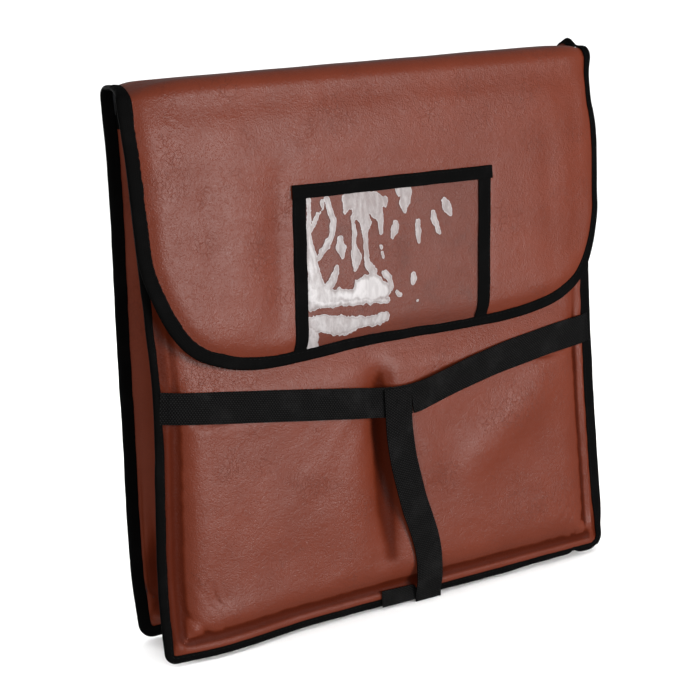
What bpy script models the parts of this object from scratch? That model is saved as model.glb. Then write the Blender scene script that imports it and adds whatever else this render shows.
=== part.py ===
"""Insulated pizza delivery bag: two padded panels, a pleated gusset, a flap that
folds over the top, a clear ticket pocket and a T-shaped webbing hand strap.

Lengths below are millimetres and become metres when a mesh is made. +Z is up, the
front of the bag faces -Y, and the bag stands on its bottom bindings at Z = 0.
While a piece is laid out, y = 0 is the seam plane of the front panel; SHIFT then
moves everything so that the origin is under the middle of the bag.
"""

import math

import bmesh
import bpy
from mathutils import Vector

# ---------------------------------------------------------------- driving dimensions
WIDTH = 450.0  # over the side bindings
HEIGHT = 474.0  # floor to the top of the folded flap
DEPTH_BOTTOM = 62.0  # between the two panels' seam planes, at the floor
DEPTH_TOP = 36.0  # the same at the top: the bag is a slim wedge
SHEET = 0.8  # coated fabric
LINING = 0.5
GAP = 0.3  # clearance between layers that touch on the real bag

TAPE = 0.8  # binding tape
TAPE_LEG = 11.0  # how far the tape laps over an edge
CORNER = 14.0  # outer radius of a panel's bottom corners
FLANGE_END = 21.0  # the cover lies flat in the seam up to here, then rises over the foam
FIELD_START = 25.5
CROWN = 5.2  # the cover's face stands this far outside the seam plane
PANEL_TOP = 462.0  # the front panel's top edge, under its binding
BACK_TOP = 468.2

PLEAT_INSET = 35.0  # how deep the gusset's fold reaches in from the outer edge

FLAP_MID_Y = -10.35  # middle of the flap's thickness, in front of the front panel
FLAP_HALF = 2.65  # half the flap's thickness
FLAP_HALF_WIDTH = 223.0
FLAP_BOTTOM = 238.0
FLAP_CORNER = 92.0
FLAP_MID_Z = HEIGHT - FLAP_HALF  # middle of the top strip's thickness
CREASE_CLEAR = 2.95  # flat pieces stop this far short of a crease's axis

POCKET_CENTRE = 8.0
POCKET_HALF = 96.0
POCKET_TOP = 381.0
POCKET_BOTTOM = 250.0

WEBBING = 25.0
WEB_THICK = 1.6
STRAP_END_Z = 217.0
STRAP_T_Z = 188.0
STRAP_T_OUT = 18.0  # how far the strap's middle stands in front of the seam plane
STRAP_AXIS_Y, STRAP_AXIS_Z = -5.9, 231.0

FRONT_MOST = -(STRAP_T_OUT + WEB_THICK + GAP + WEB_THICK / 2)
BACK_MOST = DEPTH_BOTTOM + CROWN - (DEPTH_BOTTOM - DEPTH_TOP) * FIELD_START / HEIGHT
SHIFT = -(FRONT_MOST + BACK_MOST) / 2


def depth_at(z):
    return DEPTH_BOTTOM + (DEPTH_TOP - DEPTH_BOTTOM) * z / HEIGHT


# ---------------------------------------------------------------- scene and materials
for old in list(bpy.data.objects):
    bpy.data.objects.remove(old, do_unlink=True)


def material(name, colour, rough, alpha=1.0):
    made = bpy.data.materials.new(name)
    made.use_nodes = True
    shader = made.node_tree.nodes["Principled BSDF"]
    shader.inputs["Base Color"].default_value = (*colour, 1.0)
    shader.inputs["Roughness"].default_value = rough
    shader.inputs["Metallic"].default_value = 0.0
    shader.inputs["Alpha"].default_value = alpha
    return made


COVER = material("cover_vinyl", (0.24, 0.075, 0.045), 0.42)
FOAM = material("insulation_foam", (0.78, 0.76, 0.70), 0.9)
LINER = material("lining_fabric", (0.10, 0.10, 0.11), 0.6)
BINDING = material("binding_tape", (0.012, 0.012, 0.012), 0.75)
WEB = material("webbing", (0.012, 0.012, 0.012), 0.8)
FILM = material("window_film", (0.85, 0.86, 0.86), 0.12, 0.35)
FASTENER = material("hook_and_loop", (0.015, 0.015, 0.015), 0.95)


def empty(name, y, z):
    made = bpy.data.objects.new(name, None)
    made.empty_display_size = 0.03
    made.location = (0.0, (y + SHIFT) / 1000, z / 1000)
    bpy.context.scene.collection.objects.link(made)
    return made


flap_top_axis = empty("axis_back_crease", DEPTH_TOP, FLAP_MID_Z)
flap_axis = empty("axis_front_crease", FLAP_MID_Y, FLAP_MID_Z)
strap_axis = empty("axis_hand_strap", STRAP_AXIS_Y, STRAP_AXIS_Z)
front_slide = empty("slide_front_panel", 0.0, 0.0)


def add(name, mesh_maker, mat, parent=None, smooth=40.0):
    """Turns closed rings into one object. mesh_maker fills a bmesh in layout millimetres."""
    bm = bmesh.new()
    mesh_maker(bm)
    bmesh.ops.remove_doubles(bm, verts=bm.verts, dist=1e-4)
    origin = Vector(parent.location) if parent else Vector((0.0, 0.0, 0.0))
    for v in bm.verts:
        v.co = Vector((v.co.x, v.co.y + SHIFT, v.co.z)) / 1000 - origin
    bmesh.ops.triangulate(bm, faces=bm.faces)
    bmesh.ops.recalc_face_normals(bm, faces=bm.faces)
    if bm.calc_volume(signed=True) < 0:
        bmesh.ops.reverse_faces(bm, faces=bm.faces)
    mesh = bpy.data.meshes.new(name)
    bm.to_mesh(mesh)
    bm.free()
    mesh.materials.append(mat)
    mesh.shade_smooth()
    mesh.set_sharp_from_angle(angle=math.radians(smooth))
    made = bpy.data.objects.new(name, mesh)
    bpy.context.scene.collection.objects.link(made)
    if parent:
        made.parent = parent
    return made


# ---------------------------------------------------------------- outline helpers
def outline(x0, x1, z0, z1, bottom_r, top_r, inset, seg=8):
    """Closed loop of (x, z) of a rectangle with rounded corners, taken in by inset:
    lower left, lower right, upper right and upper left corner, seg + 1 points each."""
    x0, x1, z0, z1 = x0 + inset, x1 - inset, z0 + inset, z1 - inset
    points = []
    for cx, cz, r, start in (
        (x0, z0, bottom_r, 180),
        (x1, z0, bottom_r, 270),
        (x1, z1, top_r, 0),
        (x0, z1, top_r, 90),
    ):
        r = max(r - inset, 0.0)
        ax = cx + r if cx == x0 else cx - r
        az = cz + r if cz == z0 else cz - r
        for k in range(seg + 1):
            a = math.radians(start + 90.0 * k / seg)
            points.append((ax + r * math.cos(a), az + r * math.sin(a)))
    return points


def u_path(x0, x1, z0, z_top, r, inset, seg=8):
    """Open path of (x, z) down the left side, along the bottom and up the right side."""
    loop = outline(x0, x1, z0, z_top + 500, r, 0.0, inset, seg)[: 2 * (seg + 1)]
    return [(x0 + inset, z_top)] + loop + [(x1 - inset, z_top)]


def loft(bm, rings, closed_ends=True):
    """Rings of equal length joined by quads; the two end rings are capped."""
    rows = [[bm.verts.new(p) for p in ring] for ring in rings]
    count = len(rows[0])
    for a, b in zip(rows, rows[1:]):
        for k in range(count):
            bm.faces.new((a[k], a[(k + 1) % count], b[(k + 1) % count], b[k]))
    if closed_ends:
        bm.faces.new(rows[0][::-1])
        bm.faces.new(rows[-1])


def plate(bm, outer, inner):
    """A thin shell from rings on its two faces, each listed from the edge inwards."""
    loft(bm, outer[::-1] + inner)


# Where a point at (x, z) that stands w outside a sheet's own mid-plane is.
def on_front(x, w, z):
    return (x, -w, z)


def on_back(x, w, z):
    return (x, depth_at(z) + w, z)


def on_flap(x, w, z):
    return (x, FLAP_MID_Y - w, z)


def rings(shape, place, steps, seg=8):
    """steps: (inset, w) pairs."""
    return [[place(x, w, z) for x, z in outline(*shape, inset, seg)] for inset, w in steps]


# ---------------------------------------------------------------- padded panels
def panel(prefix, place, top, top_r, parent):
    shape = (-WIDTH / 2, WIDTH / 2, 0.0, top, CORNER, top_r)
    edge = TAPE + GAP
    add(
        prefix + "_cover",
        lambda bm: plate(
            bm,
            rings(shape, place, [(edge, 1.7), (FLANGE_END, 1.7), (FIELD_START, CROWN)]),
            rings(
                shape,
                place,
                [(edge, 0.9), (FLANGE_END + 0.4, 0.9), (FIELD_START + 0.5, CROWN - SHEET)],
            ),
        ),
        COVER,
        parent,
    )
    foam_out, foam_in = CROWN - SHEET - GAP, -4.0
    add(
        prefix + "_insulation",
        lambda bm: loft(
            bm,
            rings(
                shape,
                place,
                [
                    (29.0, foam_in),
                    (27.5, foam_in + 1.5),
                    (27.5, foam_out - 1.5),
                    (29.0, foam_out),
                ],
            ),
        ),
        FOAM,
        parent,
    )
    add(
        prefix + "_lining",
        lambda bm: plate(
            bm,
            rings(shape, place, [(edge, 0.6), (FLANGE_END + 1, 0.6), (26.6, -4.3)]),
            rings(shape, place, [(edge, 0.1), (FLANGE_END + 0.7, 0.1), (26.3, -4.8)]),
        ),
        LINER,
        parent,
    )


def tape_section(place, at, half_slot_out, half_slot_in, leg=TAPE_LEG, tape=TAPE):
    """The U of a binding at one place on an edge; at(n) is the point inset by n."""
    section = []
    for n, w in (
        (0.0, -half_slot_in - tape),
        (leg, -half_slot_in - tape),
        (leg, -half_slot_in),
        (tape, -half_slot_in),
        (tape, half_slot_out),
        (leg, half_slot_out),
        (leg, half_slot_out + tape),
        (0.0, half_slot_out + tape),
    ):
        x, z = at(n)
        section.append(place(x, w, z))
    return section


def u_binding(bm, place, x0, x1, z0, z_top, r, slot_out, slot_in, seg=8):
    paths = {n: u_path(x0, x1, z0, z_top, r, n, seg) for n in (0.0, TAPE, TAPE_LEG)}
    count = len(paths[0.0])
    loft(
        bm,
        [
            tape_section(place, lambda n, k=k: paths[n][k], slot_out, slot_in)
            for k in range(count)
        ],
    )


# The seam holds four layers: cover, lining, gusset lining, gusset cover.
SLOT = 2.0

panel("back_panel", on_back, BACK_TOP, 3.0, None)
panel("front_panel", on_front, PANEL_TOP, 3.0, front_slide)
add(
    "back_panel_binding",
    lambda bm: u_binding(
        bm, on_back, -WIDTH / 2, WIDTH / 2, 0.0, BACK_TOP, CORNER, SLOT, SLOT
    ),
    BINDING,
)
add(
    "front_panel_binding",
    lambda bm: u_binding(
        bm, on_front, -WIDTH / 2, WIDTH / 2, 0.0, PANEL_TOP - 12.3, CORNER, SLOT, SLOT
    ),
    BINDING,
    front_slide,
)


def mouth_binding(bm):
    """Tape over the front panel's top edge, from side to side."""
    top = PANEL_TOP + TAPE
    loft(
        bm,
        [
            tape_section(on_front, lambda n, x=x: (x, top - n), SLOT, SLOT)
            for x in (-WIDTH / 2 + 0.4, WIDTH / 2 - 0.4)
        ],
    )


add("front_mouth_binding", mouth_binding, BINDING, front_slide)

# ---------------------------------------------------------------- gusset
GUSSET_TOP = 448.5


def pleat(n_flange, n_tip, w_flange, z_top):
    """Rings across the pleat along the U-shaped path: front flange, tip, back flange."""
    flange = u_path(-WIDTH / 2, WIDTH / 2, 0.0, z_top, CORNER, TAPE + GAP)
    bend = u_path(-WIDTH / 2, WIDTH / 2, 0.0, z_top, CORNER, n_flange)
    tip = u_path(-WIDTH / 2, WIDTH / 2, 0.0, z_top, CORNER, n_tip)
    lines = []
    for k in range(len(flange)):
        (fx, fz), (bx, bz), (tx, tz) = flange[k], bend[k], tip[k]
        lines.append(
            [
                (fx, w_flange, fz),
                (bx, w_flange, bz),
                (tx, depth_at(tz) / 2, tz),
                (bx, depth_at(bz) - w_flange, bz),
                (fx, depth_at(fz) - w_flange, fz),
            ]
        )
    return lines


def gusset(bm, outside, inside):
    loft(bm, [a + b[::-1] for a, b in zip(outside, inside)])


add(
    "gusset_cover",
    lambda bm: gusset(
        bm,
        pleat(12.0, PLEAT_INSET, 1.7, GUSSET_TOP),
        pleat(12.4, PLEAT_INSET + 1.4, 0.9, GUSSET_TOP),
    ),
    COVER,
)
add(
    "gusset_lining",
    lambda bm: gusset(
        bm,
        pleat(12.6, PLEAT_INSET + 2.0, 0.6, GUSSET_TOP),
        pleat(12.8, PLEAT_INSET + 2.9, 0.2, GUSSET_TOP),
    ),
    LINER,
)


def gusset_mouth(side):
    """Tape folded over the gusset's top edge, following the pleat from seam to seam."""

    def make(bm):
        top = GUSSET_TOP + TAPE + GAP
        half = 1.7

        def across(offset, z):
            """The pleat line moved by offset towards the bag's inside (+) or outside (-)."""
            depth = depth_at(z)
            root_n, root_y = 12.45, 0.95
            tip_n = PLEAT_INSET + 1.45
            lean = math.atan2(depth / 2 - root_y, tip_n - root_n)
            out = offset / math.sin(lean)
            start_y = 3.9
            start_n = root_n + (tip_n - root_n) * (start_y - root_y) / (depth / 2 - root_y)
            points = [
                (start_n + out, start_y),
                (tip_n + out, depth / 2),
                (start_n + out, depth - start_y),
            ]
            return [(side * (WIDTH / 2 - n), y, z) for n, y in points]

        low = top - 10.0
        section = [
            (-half - TAPE, top),
            (-half - TAPE, low),
            (-half, low),
            (-half, top - TAPE),
            (half, top - TAPE),
            (half, low),
            (half + TAPE, low),
            (half + TAPE, top),
        ]
        lines = [across(offset, z) for offset, z in section]
        loft(bm, [[line[k] for line in lines] for k in range(3)])

    return make


add("gusset_mouth_binding_left", gusset_mouth(-1), BINDING)
add("gusset_mouth_binding_right", gusset_mouth(1), BINDING)


# ---------------------------------------------------------------- hook and loop
def block(bm, x0, x1, y0, y1, z0, z1):
    loft(
        bm,
        [
            [(x0, y, z0), (x1, y, z0), (x1, y, z1), (x0, y, z1)]
            for y in (y0, y1)
        ],
    )


FASTENER_LONG, FASTENER_TALL = 100.0, 25.0
FASTENER_X, FASTENER_Z = 110.0, 270.0
FASTENER_THICK = 0.8
loop_y = -(CROWN + GAP)
hook_y = loop_y - FASTENER_THICK - GAP
for side, word in ((-1, "left"), (1, "right")):
    x0 = side * FASTENER_X - FASTENER_LONG / 2
    z0 = FASTENER_Z - FASTENER_TALL / 2
    add(
        "loop_strip_" + word,
        lambda bm, x0=x0, z0=z0: block(
            bm,
            x0,
            x0 + FASTENER_LONG,
            loop_y - FASTENER_THICK,
            loop_y,
            z0,
            z0 + FASTENER_TALL,
        ),
        FASTENER,
        front_slide,
    )
    add(
        "hook_strip_" + word,
        lambda bm, x0=x0, z0=z0: block(
            bm,
            x0,
            x0 + FASTENER_LONG,
            hook_y - FASTENER_THICK,
            hook_y,
            z0,
            z0 + FASTENER_TALL,
        ),
        FASTENER,
        flap_axis,
    )

# ---------------------------------------------------------------- flap, front part
FLAP_TOP_EDGE = FLAP_MID_Z - CREASE_CLEAR
FLAP_SHAPE = (
    -FLAP_HALF_WIDTH,
    FLAP_HALF_WIDTH,
    FLAP_BOTTOM,
    FLAP_TOP_EDGE + 1.1,
    FLAP_CORNER,
    2.0,
)
# Heights of the layers over the flap's own mid-plane.
FLANGE_COVER = (0.95, 0.15)
FLANGE_LINING = (-0.10, -0.60)
FLAP_SLOT_OUT, FLAP_SLOT_IN = 1.25, 0.9
COVER_IN = FLAP_HALF - SHEET
LINING_OUT = -FLAP_HALF + LINING

add(
    "flap_cover",
    lambda bm: plate(
        bm,
        rings(
            FLAP_SHAPE,
            on_flap,
            [(1.1, FLANGE_COVER[0]), (12.0, FLANGE_COVER[0]), (17.0, FLAP_HALF)],
            12,
        ),
        rings(
            FLAP_SHAPE,
            on_flap,
            [(1.1, FLANGE_COVER[1]), (12.3, FLANGE_COVER[1]), (17.4, COVER_IN)],
            12,
        ),
    ),
    COVER,
    flap_axis,
)
add(
    "flap_insulation",
    lambda bm: loft(
        bm,
        rings(
            FLAP_SHAPE,
            on_flap,
            [
                (20.0, LINING_OUT + GAP),
                (19.0, LINING_OUT + GAP + 1.0),
                (19.0, COVER_IN - GAP - 1.0),
                (20.0, COVER_IN - GAP),
            ],
            12,
        ),
    ),
    FOAM,
    flap_axis,
)
add(
    "flap_lining",
    lambda bm: plate(
        bm,
        rings(
            FLAP_SHAPE,
            on_flap,
            [(1.1, FLANGE_LINING[0]), (12.6, FLANGE_LINING[0]), (17.6, LINING_OUT)],
            12,
        ),
        rings(
            FLAP_SHAPE,
            on_flap,
            [(1.1, FLANGE_LINING[1]), (12.4, FLANGE_LINING[1]), (17.4, -FLAP_HALF)],
            12,
        ),
    ),
    LINER,
    flap_axis,
)
add(
    "flap_binding",
    lambda bm: u_binding(
        bm,
        on_flap,
        -FLAP_HALF_WIDTH,
        FLAP_HALF_WIDTH,
        FLAP_BOTTOM,
        FLAP_TOP_EDGE,
        FLAP_CORNER,
        FLAP_SLOT_OUT,
        FLAP_SLOT_IN,
        12,
    ),
    BINDING,
    flap_axis,
)

# ---------------------------------------------------------------- flap, top strip
STRIP_Y0 = FLAP_MID_Y + CREASE_CLEAR
STRIP_Y1 = DEPTH_TOP - CREASE_CLEAR


def strip_sheet(half_width, near, far):
    """near and far: (x taken in, height over the mid-plane) along each face."""

    def make(bm):
        top = [(half_width - n, w) for n, w in near]
        low = [(half_width - n, w) for n, w in far]
        section = [(-x, w) for x, w in top] + [(x, w) for x, w in top[::-1]]
        section += [(x, w) for x, w in low] + [(-x, w) for x, w in low[::-1]]
        loft(
            bm,
            [[(x, y, FLAP_MID_Z + w) for x, w in section] for y in (STRIP_Y0, STRIP_Y1)],
        )

    return make


add(
    "flap_top_cover",
    strip_sheet(
        FLAP_HALF_WIDTH,
        [(1.1, FLANGE_COVER[0]), (12.0, FLANGE_COVER[0]), (17.0, FLAP_HALF)],
        [(1.1, FLANGE_COVER[1]), (12.3, FLANGE_COVER[1]), (17.4, COVER_IN)],
    ),
    COVER,
    flap_top_axis,
)
add(
    "flap_top_insulation",
    lambda bm: block(
        bm,
        -FLAP_HALF_WIDTH + 19.0,
        FLAP_HALF_WIDTH - 19.0,
        STRIP_Y0 + 0.5,
        STRIP_Y1 - 0.5,
        FLAP_MID_Z + LINING_OUT + GAP,
        FLAP_MID_Z + COVER_IN - GAP,
    ),
    FOAM,
    flap_top_axis,
)
add(
    "flap_top_lining",
    strip_sheet(
        FLAP_HALF_WIDTH,
        [(1.1, FLANGE_LINING[0]), (12.6, FLANGE_LINING[0]), (17.6, LINING_OUT)],
        [(1.1, FLANGE_LINING[1]), (12.4, FLANGE_LINING[1]), (17.4, -FLAP_HALF)],
    ),
    LINER,
    flap_top_axis,
)


def strip_binding(side):
    def make(bm):
        loft(
            bm,
            [
                tape_section(
                    lambda x, w, z, y=y: (x, y, FLAP_MID_Z + w),
                    lambda n: (side * (FLAP_HALF_WIDTH - n), 0.0),
                    FLAP_SLOT_OUT,
                    FLAP_SLOT_IN,
                )
                for y in (STRIP_Y0, STRIP_Y1)
            ],
        )

    return make


add("flap_top_binding_left", strip_binding(-1), BINDING, flap_top_axis)
add("flap_top_binding_right", strip_binding(1), BINDING, flap_top_axis)

# ---------------------------------------------------------------- ticket pocket
POCKET_TAPE = 0.6
POCKET_LEG = 11.0
FILM_THICK = 0.4
POCKET_Y = FLAP_MID_Y - FLAP_HALF - GAP  # back of the pocket's tape
FILM_Y = POCKET_Y - POCKET_TAPE - GAP
px0, px1 = POCKET_CENTRE - POCKET_HALF, POCKET_CENTRE + POCKET_HALF
film_edge = POCKET_TAPE + GAP
add(
    "window_film",
    lambda bm: block(
        bm,
        px0 + film_edge,
        px1 - film_edge,
        FILM_Y - FILM_THICK,
        FILM_Y,
        POCKET_BOTTOM + 4.0,
        POCKET_TOP - film_edge,
    ),
    FILM,
    flap_axis,
)
pocket_slot = GAP + FILM_THICK + GAP


def pocket_section(at):
    """The U of the pocket's tape: at(n) is the (x, z) inset by n."""
    section = []
    for n, depth in (
        (0.0, 0.0),
        (POCKET_LEG, 0.0),
        (POCKET_LEG, POCKET_TAPE),
        (POCKET_TAPE, POCKET_TAPE),
        (POCKET_TAPE, POCKET_TAPE + pocket_slot),
        (POCKET_LEG, POCKET_TAPE + pocket_slot),
        (POCKET_LEG, 2 * POCKET_TAPE + pocket_slot),
        (0.0, 2 * POCKET_TAPE + pocket_slot),
    ):
        x, z = at(n)
        section.append((x, POCKET_Y - depth, z))
    return section


SIDE_TOP = POCKET_TOP - POCKET_LEG - GAP
add(
    "pocket_binding_top",
    lambda bm: loft(
        bm, [pocket_section(lambda n, x=x: (x, POCKET_TOP - n)) for x in (px0, px1)]
    ),
    BINDING,
    flap_axis,
)
add(
    "pocket_binding_left",
    lambda bm: loft(
        bm,
        [pocket_section(lambda n, z=z: (px0 + n, z)) for z in (POCKET_BOTTOM, SIDE_TOP)],
    ),
    BINDING,
    flap_axis,
)
add(
    "pocket_binding_right",
    lambda bm: loft(
        bm,
        [pocket_section(lambda n, z=z: (px1 - n, z)) for z in (POCKET_BOTTOM, SIDE_TOP)],
    ),
    BINDING,
    flap_axis,
)


# ---------------------------------------------------------------- hand strap
def strap_height(x):
    """Z of the handle's middle line: a shallow V pulled down by the brace strap."""
    reach = WIDTH / 2 - TAPE_LEG - 0.5
    t = min(abs(x) / reach, 1.0)
    return STRAP_T_Z + (STRAP_END_Z - STRAP_T_Z) * math.sqrt(t * t + 0.0064) / math.sqrt(
        1.0064
    )


def strap_out(x):
    """How far the handle's middle line stands in front of the seam plane."""
    reach = WIDTH / 2 - TAPE_LEG - 0.5
    lip = reach - 4.0
    field = WIDTH / 2 - FLANGE_END - 0.5
    x = abs(x)
    if x > lip:
        return 2.9 + 0.5 * (reach - x) / 4.0
    if x > field:
        return 3.4 + (6.5 - 3.4) * (lip - x) / (lip - field)
    t = x / field
    return 6.5 + (STRAP_T_OUT - 6.5) * (1.0 - t * t) ** 0.8 if t < 1 else 6.5


def handle(bm):
    reach = WIDTH / 2 - TAPE_LEG - 0.5
    xs = [-reach, -reach + 4.0, -WIDTH / 2 + FLANGE_END + 0.5]
    inner = WIDTH / 2 - FLANGE_END - 0.5
    steps = 18
    xs += [-inner + 2 * inner * k / steps for k in range(1, steps)]
    xs += [inner, reach - 4.0, reach]
    sections = []
    for x in xs:
        y, z = -strap_out(x), strap_height(x)
        h, t = WEBBING / 2, WEB_THICK / 2
        sections.append(
            [(x, y - t, z - h), (x, y + t, z - h), (x, y + t, z + h), (x, y - t, z + h)]
        )
    loft(bm, sections)


add("handle_strap", handle, WEB, strap_axis)

BRACE_TOP_Z = STRAP_T_Z + WEBBING / 2
BRACE_FOOT = (25.0, 16.5)  # x and z of the middle of its lower end
BRACE_Y_TOP = -(STRAP_T_OUT + WEB_THICK + GAP)
BRACE_Y_FOOT = -8.0


def brace(bm):
    """Stitched over the handle's middle, then down to the bottom seam with a lean to the right."""
    centres = [(0.0, BRACE_Y_TOP, BRACE_TOP_Z), (0.0, BRACE_Y_TOP, STRAP_T_Z - WEBBING / 2)]
    steps = 10
    z_start = STRAP_T_Z - WEBBING / 2
    for k in range(1, steps + 1):
        t = k / steps
        s = t * t * (3 - 2 * t) * 0.5 + t * 0.5
        centres.append(
            (
                BRACE_FOOT[0] * s,
                BRACE_Y_TOP + (BRACE_Y_FOOT - BRACE_Y_TOP) * t,
                z_start + (BRACE_FOOT[1] - z_start) * t,
            )
        )
    h, t = WEBBING / 2, WEB_THICK / 2
    loft(
        bm,
        [
            [(x - h, y - t, z), (x + h, y - t, z), (x + h, y + t, z), (x - h, y + t, z)]
            for x, y, z in centres
        ],
    )


add("brace_strap", brace, WEB, strap_axis)
add(
    "strap_anchor_tab",
    lambda bm: block(bm, -20.0, 16.0, -4.9, -(SLOT + TAPE + GAP), 0.6, 15.5),
    WEB,
    front_slide,
)
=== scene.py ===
"""Looks of the insulated pizza delivery bag: puffed leatherette panels, woven binding
tape, a pleated gusset, the folded flap with its clear ticket pocket, and the webbing
hand strap. Lengths in the modelling code are millimetres in the layout frame, where
y = 0 is the front panel's seam plane; SHIFT turns them into the model's own frame."""

import math

import bmesh
import bpy
import numpy as np
from mathutils import Matrix, Vector


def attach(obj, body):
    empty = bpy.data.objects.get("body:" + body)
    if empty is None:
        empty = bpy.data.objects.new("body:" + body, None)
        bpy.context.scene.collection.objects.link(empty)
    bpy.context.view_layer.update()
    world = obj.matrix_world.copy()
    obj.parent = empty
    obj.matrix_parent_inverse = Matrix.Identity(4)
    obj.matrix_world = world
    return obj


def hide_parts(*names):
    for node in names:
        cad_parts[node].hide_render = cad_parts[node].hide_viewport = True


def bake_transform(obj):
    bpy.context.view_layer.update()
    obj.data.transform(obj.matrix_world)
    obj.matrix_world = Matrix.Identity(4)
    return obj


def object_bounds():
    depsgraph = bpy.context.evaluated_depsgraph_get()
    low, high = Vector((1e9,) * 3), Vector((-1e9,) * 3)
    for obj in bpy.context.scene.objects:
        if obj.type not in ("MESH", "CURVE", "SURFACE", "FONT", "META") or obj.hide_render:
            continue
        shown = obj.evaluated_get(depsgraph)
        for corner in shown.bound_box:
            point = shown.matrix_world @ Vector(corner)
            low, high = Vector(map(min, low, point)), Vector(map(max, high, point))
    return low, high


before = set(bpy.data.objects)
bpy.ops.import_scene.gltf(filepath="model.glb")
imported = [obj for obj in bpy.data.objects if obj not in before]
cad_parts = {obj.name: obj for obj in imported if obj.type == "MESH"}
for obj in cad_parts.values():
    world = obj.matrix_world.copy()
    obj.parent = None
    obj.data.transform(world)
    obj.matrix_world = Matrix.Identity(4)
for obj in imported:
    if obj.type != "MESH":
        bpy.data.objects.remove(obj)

CAD_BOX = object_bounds()
SHIFT = -22.550633
HEIGHT = 474.0
WIDTH = 450.0


def depth_at(z):
    return 62.0 - 26.0 * np.asarray(z, float) / HEIGHT


# ------------------------------------------------------------------ camera
camera = bpy.data.objects.new("camera", bpy.data.cameras.new("camera"))
bpy.context.scene.collection.objects.link(camera)
camera.data.sensor_fit = "HORIZONTAL"
camera.data.sensor_width = 36.0
camera.data.lens = 81.81
camera.data.clip_start, camera.data.clip_end = 0.05, 60.0
forward = Vector((0.46562, 0.8583, -0.21568)).normalized()
up = Vector((0.15899, 0.15862, 0.97446))
up = (up - forward * up.dot(forward)).normalized()
right = forward.cross(up)
turn = Matrix((right, up, -forward)).transposed().to_4x4()
camera.matrix_world = Matrix.Translation((-0.6647, -1.18275, 0.5277)) @ turn
bpy.context.scene.camera = camera


# ------------------------------------------------------------------ number helpers
def noise2(u, v, seed):
    """Gradient noise of two coordinates, about -0.7 to 0.7, the same each run."""
    angles = np.random.default_rng(seed).uniform(0, 2 * math.pi, (256, 256))
    u, v = np.broadcast_arrays(np.asarray(u, float), np.asarray(v, float))
    iu, iv = np.floor(u).astype(int), np.floor(v).astype(int)
    fu, fv = u - iu, v - iv

    def corner(a, b):
        t = angles[(iu + a) & 255, (iv + b) & 255]
        return np.cos(t) * (fu - a) + np.sin(t) * (fv - b)

    su = fu * fu * fu * (fu * (fu * 6 - 15) + 10)
    sv = fv * fv * fv * (fv * (fv * 6 - 15) + 10)
    low = corner(0, 0) * (1 - su) + corner(1, 0) * su
    high = corner(0, 1) * (1 - su) + corner(1, 1) * su
    return low * (1 - sv) + high * sv


def fbm(u, v, seed, octaves=3):
    total, size = 0.0, 1.0
    for k in range(octaves):
        total = total + size * noise2(np.asarray(u) * 2**k, np.asarray(v) * 2**k, seed + k)
        size *= 0.5
    return total


def table(pairs, soft=1.0):
    """A smooth function of one number through (x, value) pairs."""
    xs, ys = np.array(pairs, float).T
    step = max(0.1, soft / 6)
    grid = np.arange(xs[0] - 4 * soft, xs[-1] + 4 * soft, step)
    line = np.interp(grid, xs, ys)
    reach = int(round(3 * soft / step))
    kernel = np.exp(-0.5 * (np.arange(-reach, reach + 1) * step / soft) ** 2)
    line = np.convolve(np.pad(line, reach, mode="edge"), kernel / kernel.sum(), "valid")
    return lambda x: np.interp(x, grid, line)


def smoothstep(a, b, x):
    t = np.clip((np.asarray(x, float) - a) / (b - a), 0, 1)
    return t * t * (3 - 2 * t)


def soft_min(values, k):
    """The least of several distances, with its corners rounded over k."""
    values = np.array(np.broadcast_arrays(*values), float)
    low = values.min(0)
    return low - k * np.log(np.exp(-(values - low) / k).sum(0)) * 0.8


def streak(x, z, x0, z0, angle, length, width, height):
    """A soft ridge or valley along a line: its height where x, z lie near it."""
    c, s = math.cos(math.radians(angle)), math.sin(math.radians(angle))
    along = (x - x0) * c + (z - z0) * s
    across = -(x - x0) * s + (z - z0) * c
    return height * np.exp(-((across / width) ** 2) - (along / length) ** 4)


def packet(x, z, x0, z0, angle, length, width, pitch, height):
    """A few fine parallel creases in a small patch."""
    c, s = math.cos(math.radians(angle)), math.sin(math.radians(angle))
    along = (x - x0) * c + (z - z0) * s
    across = -(x - x0) * s + (z - z0) * c
    across = across + 0.6 * pitch * noise2(x / (2.5 * pitch), z / (2.5 * pitch), 91)
    window = np.exp(-((across / width) ** 2) - (along / length) ** 2)
    return height * window * np.cos(2 * math.pi * across / pitch)


def smooth_path(points, step=3.0, closed=False):
    """Points every `step` mm along a Catmull-Rom curve through the given points."""
    p = np.array(points, float)
    if closed:
        ext = np.vstack([p[-1], p, p[0], p[1]])
    else:
        ext = np.vstack([2 * p[0] - p[1], p, 2 * p[-1] - p[-2]])
    fine = []
    for k in range(1, len(ext) - 2):
        a, b, c, d = ext[k - 1], ext[k], ext[k + 1], ext[k + 2]
        for t in np.linspace(0, 1, 24, endpoint=False):
            fine.append(
                0.5
                * (
                    2 * b
                    + (c - a) * t
                    + (2 * a - 5 * b + 4 * c - d) * t * t
                    + (3 * b - a - 3 * c + d) * t**3
                )
            )
    fine.append(ext[-2])
    return resample(np.array(fine), step)


def resample(p, step=None, count=None):
    gaps = np.linalg.norm(np.diff(p, axis=0), axis=1)
    s = np.concatenate([[0], np.cumsum(gaps)])
    count = count or max(2, int(round(s[-1] / step)) + 1)
    at = np.linspace(0, s[-1], count)
    return np.stack([np.interp(at, s, p[:, k]) for k in range(p.shape[1])], 1)


def arc_lengths(p):
    return np.concatenate([[0], np.cumsum(np.linalg.norm(np.diff(p, axis=0), axis=1))])


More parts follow.
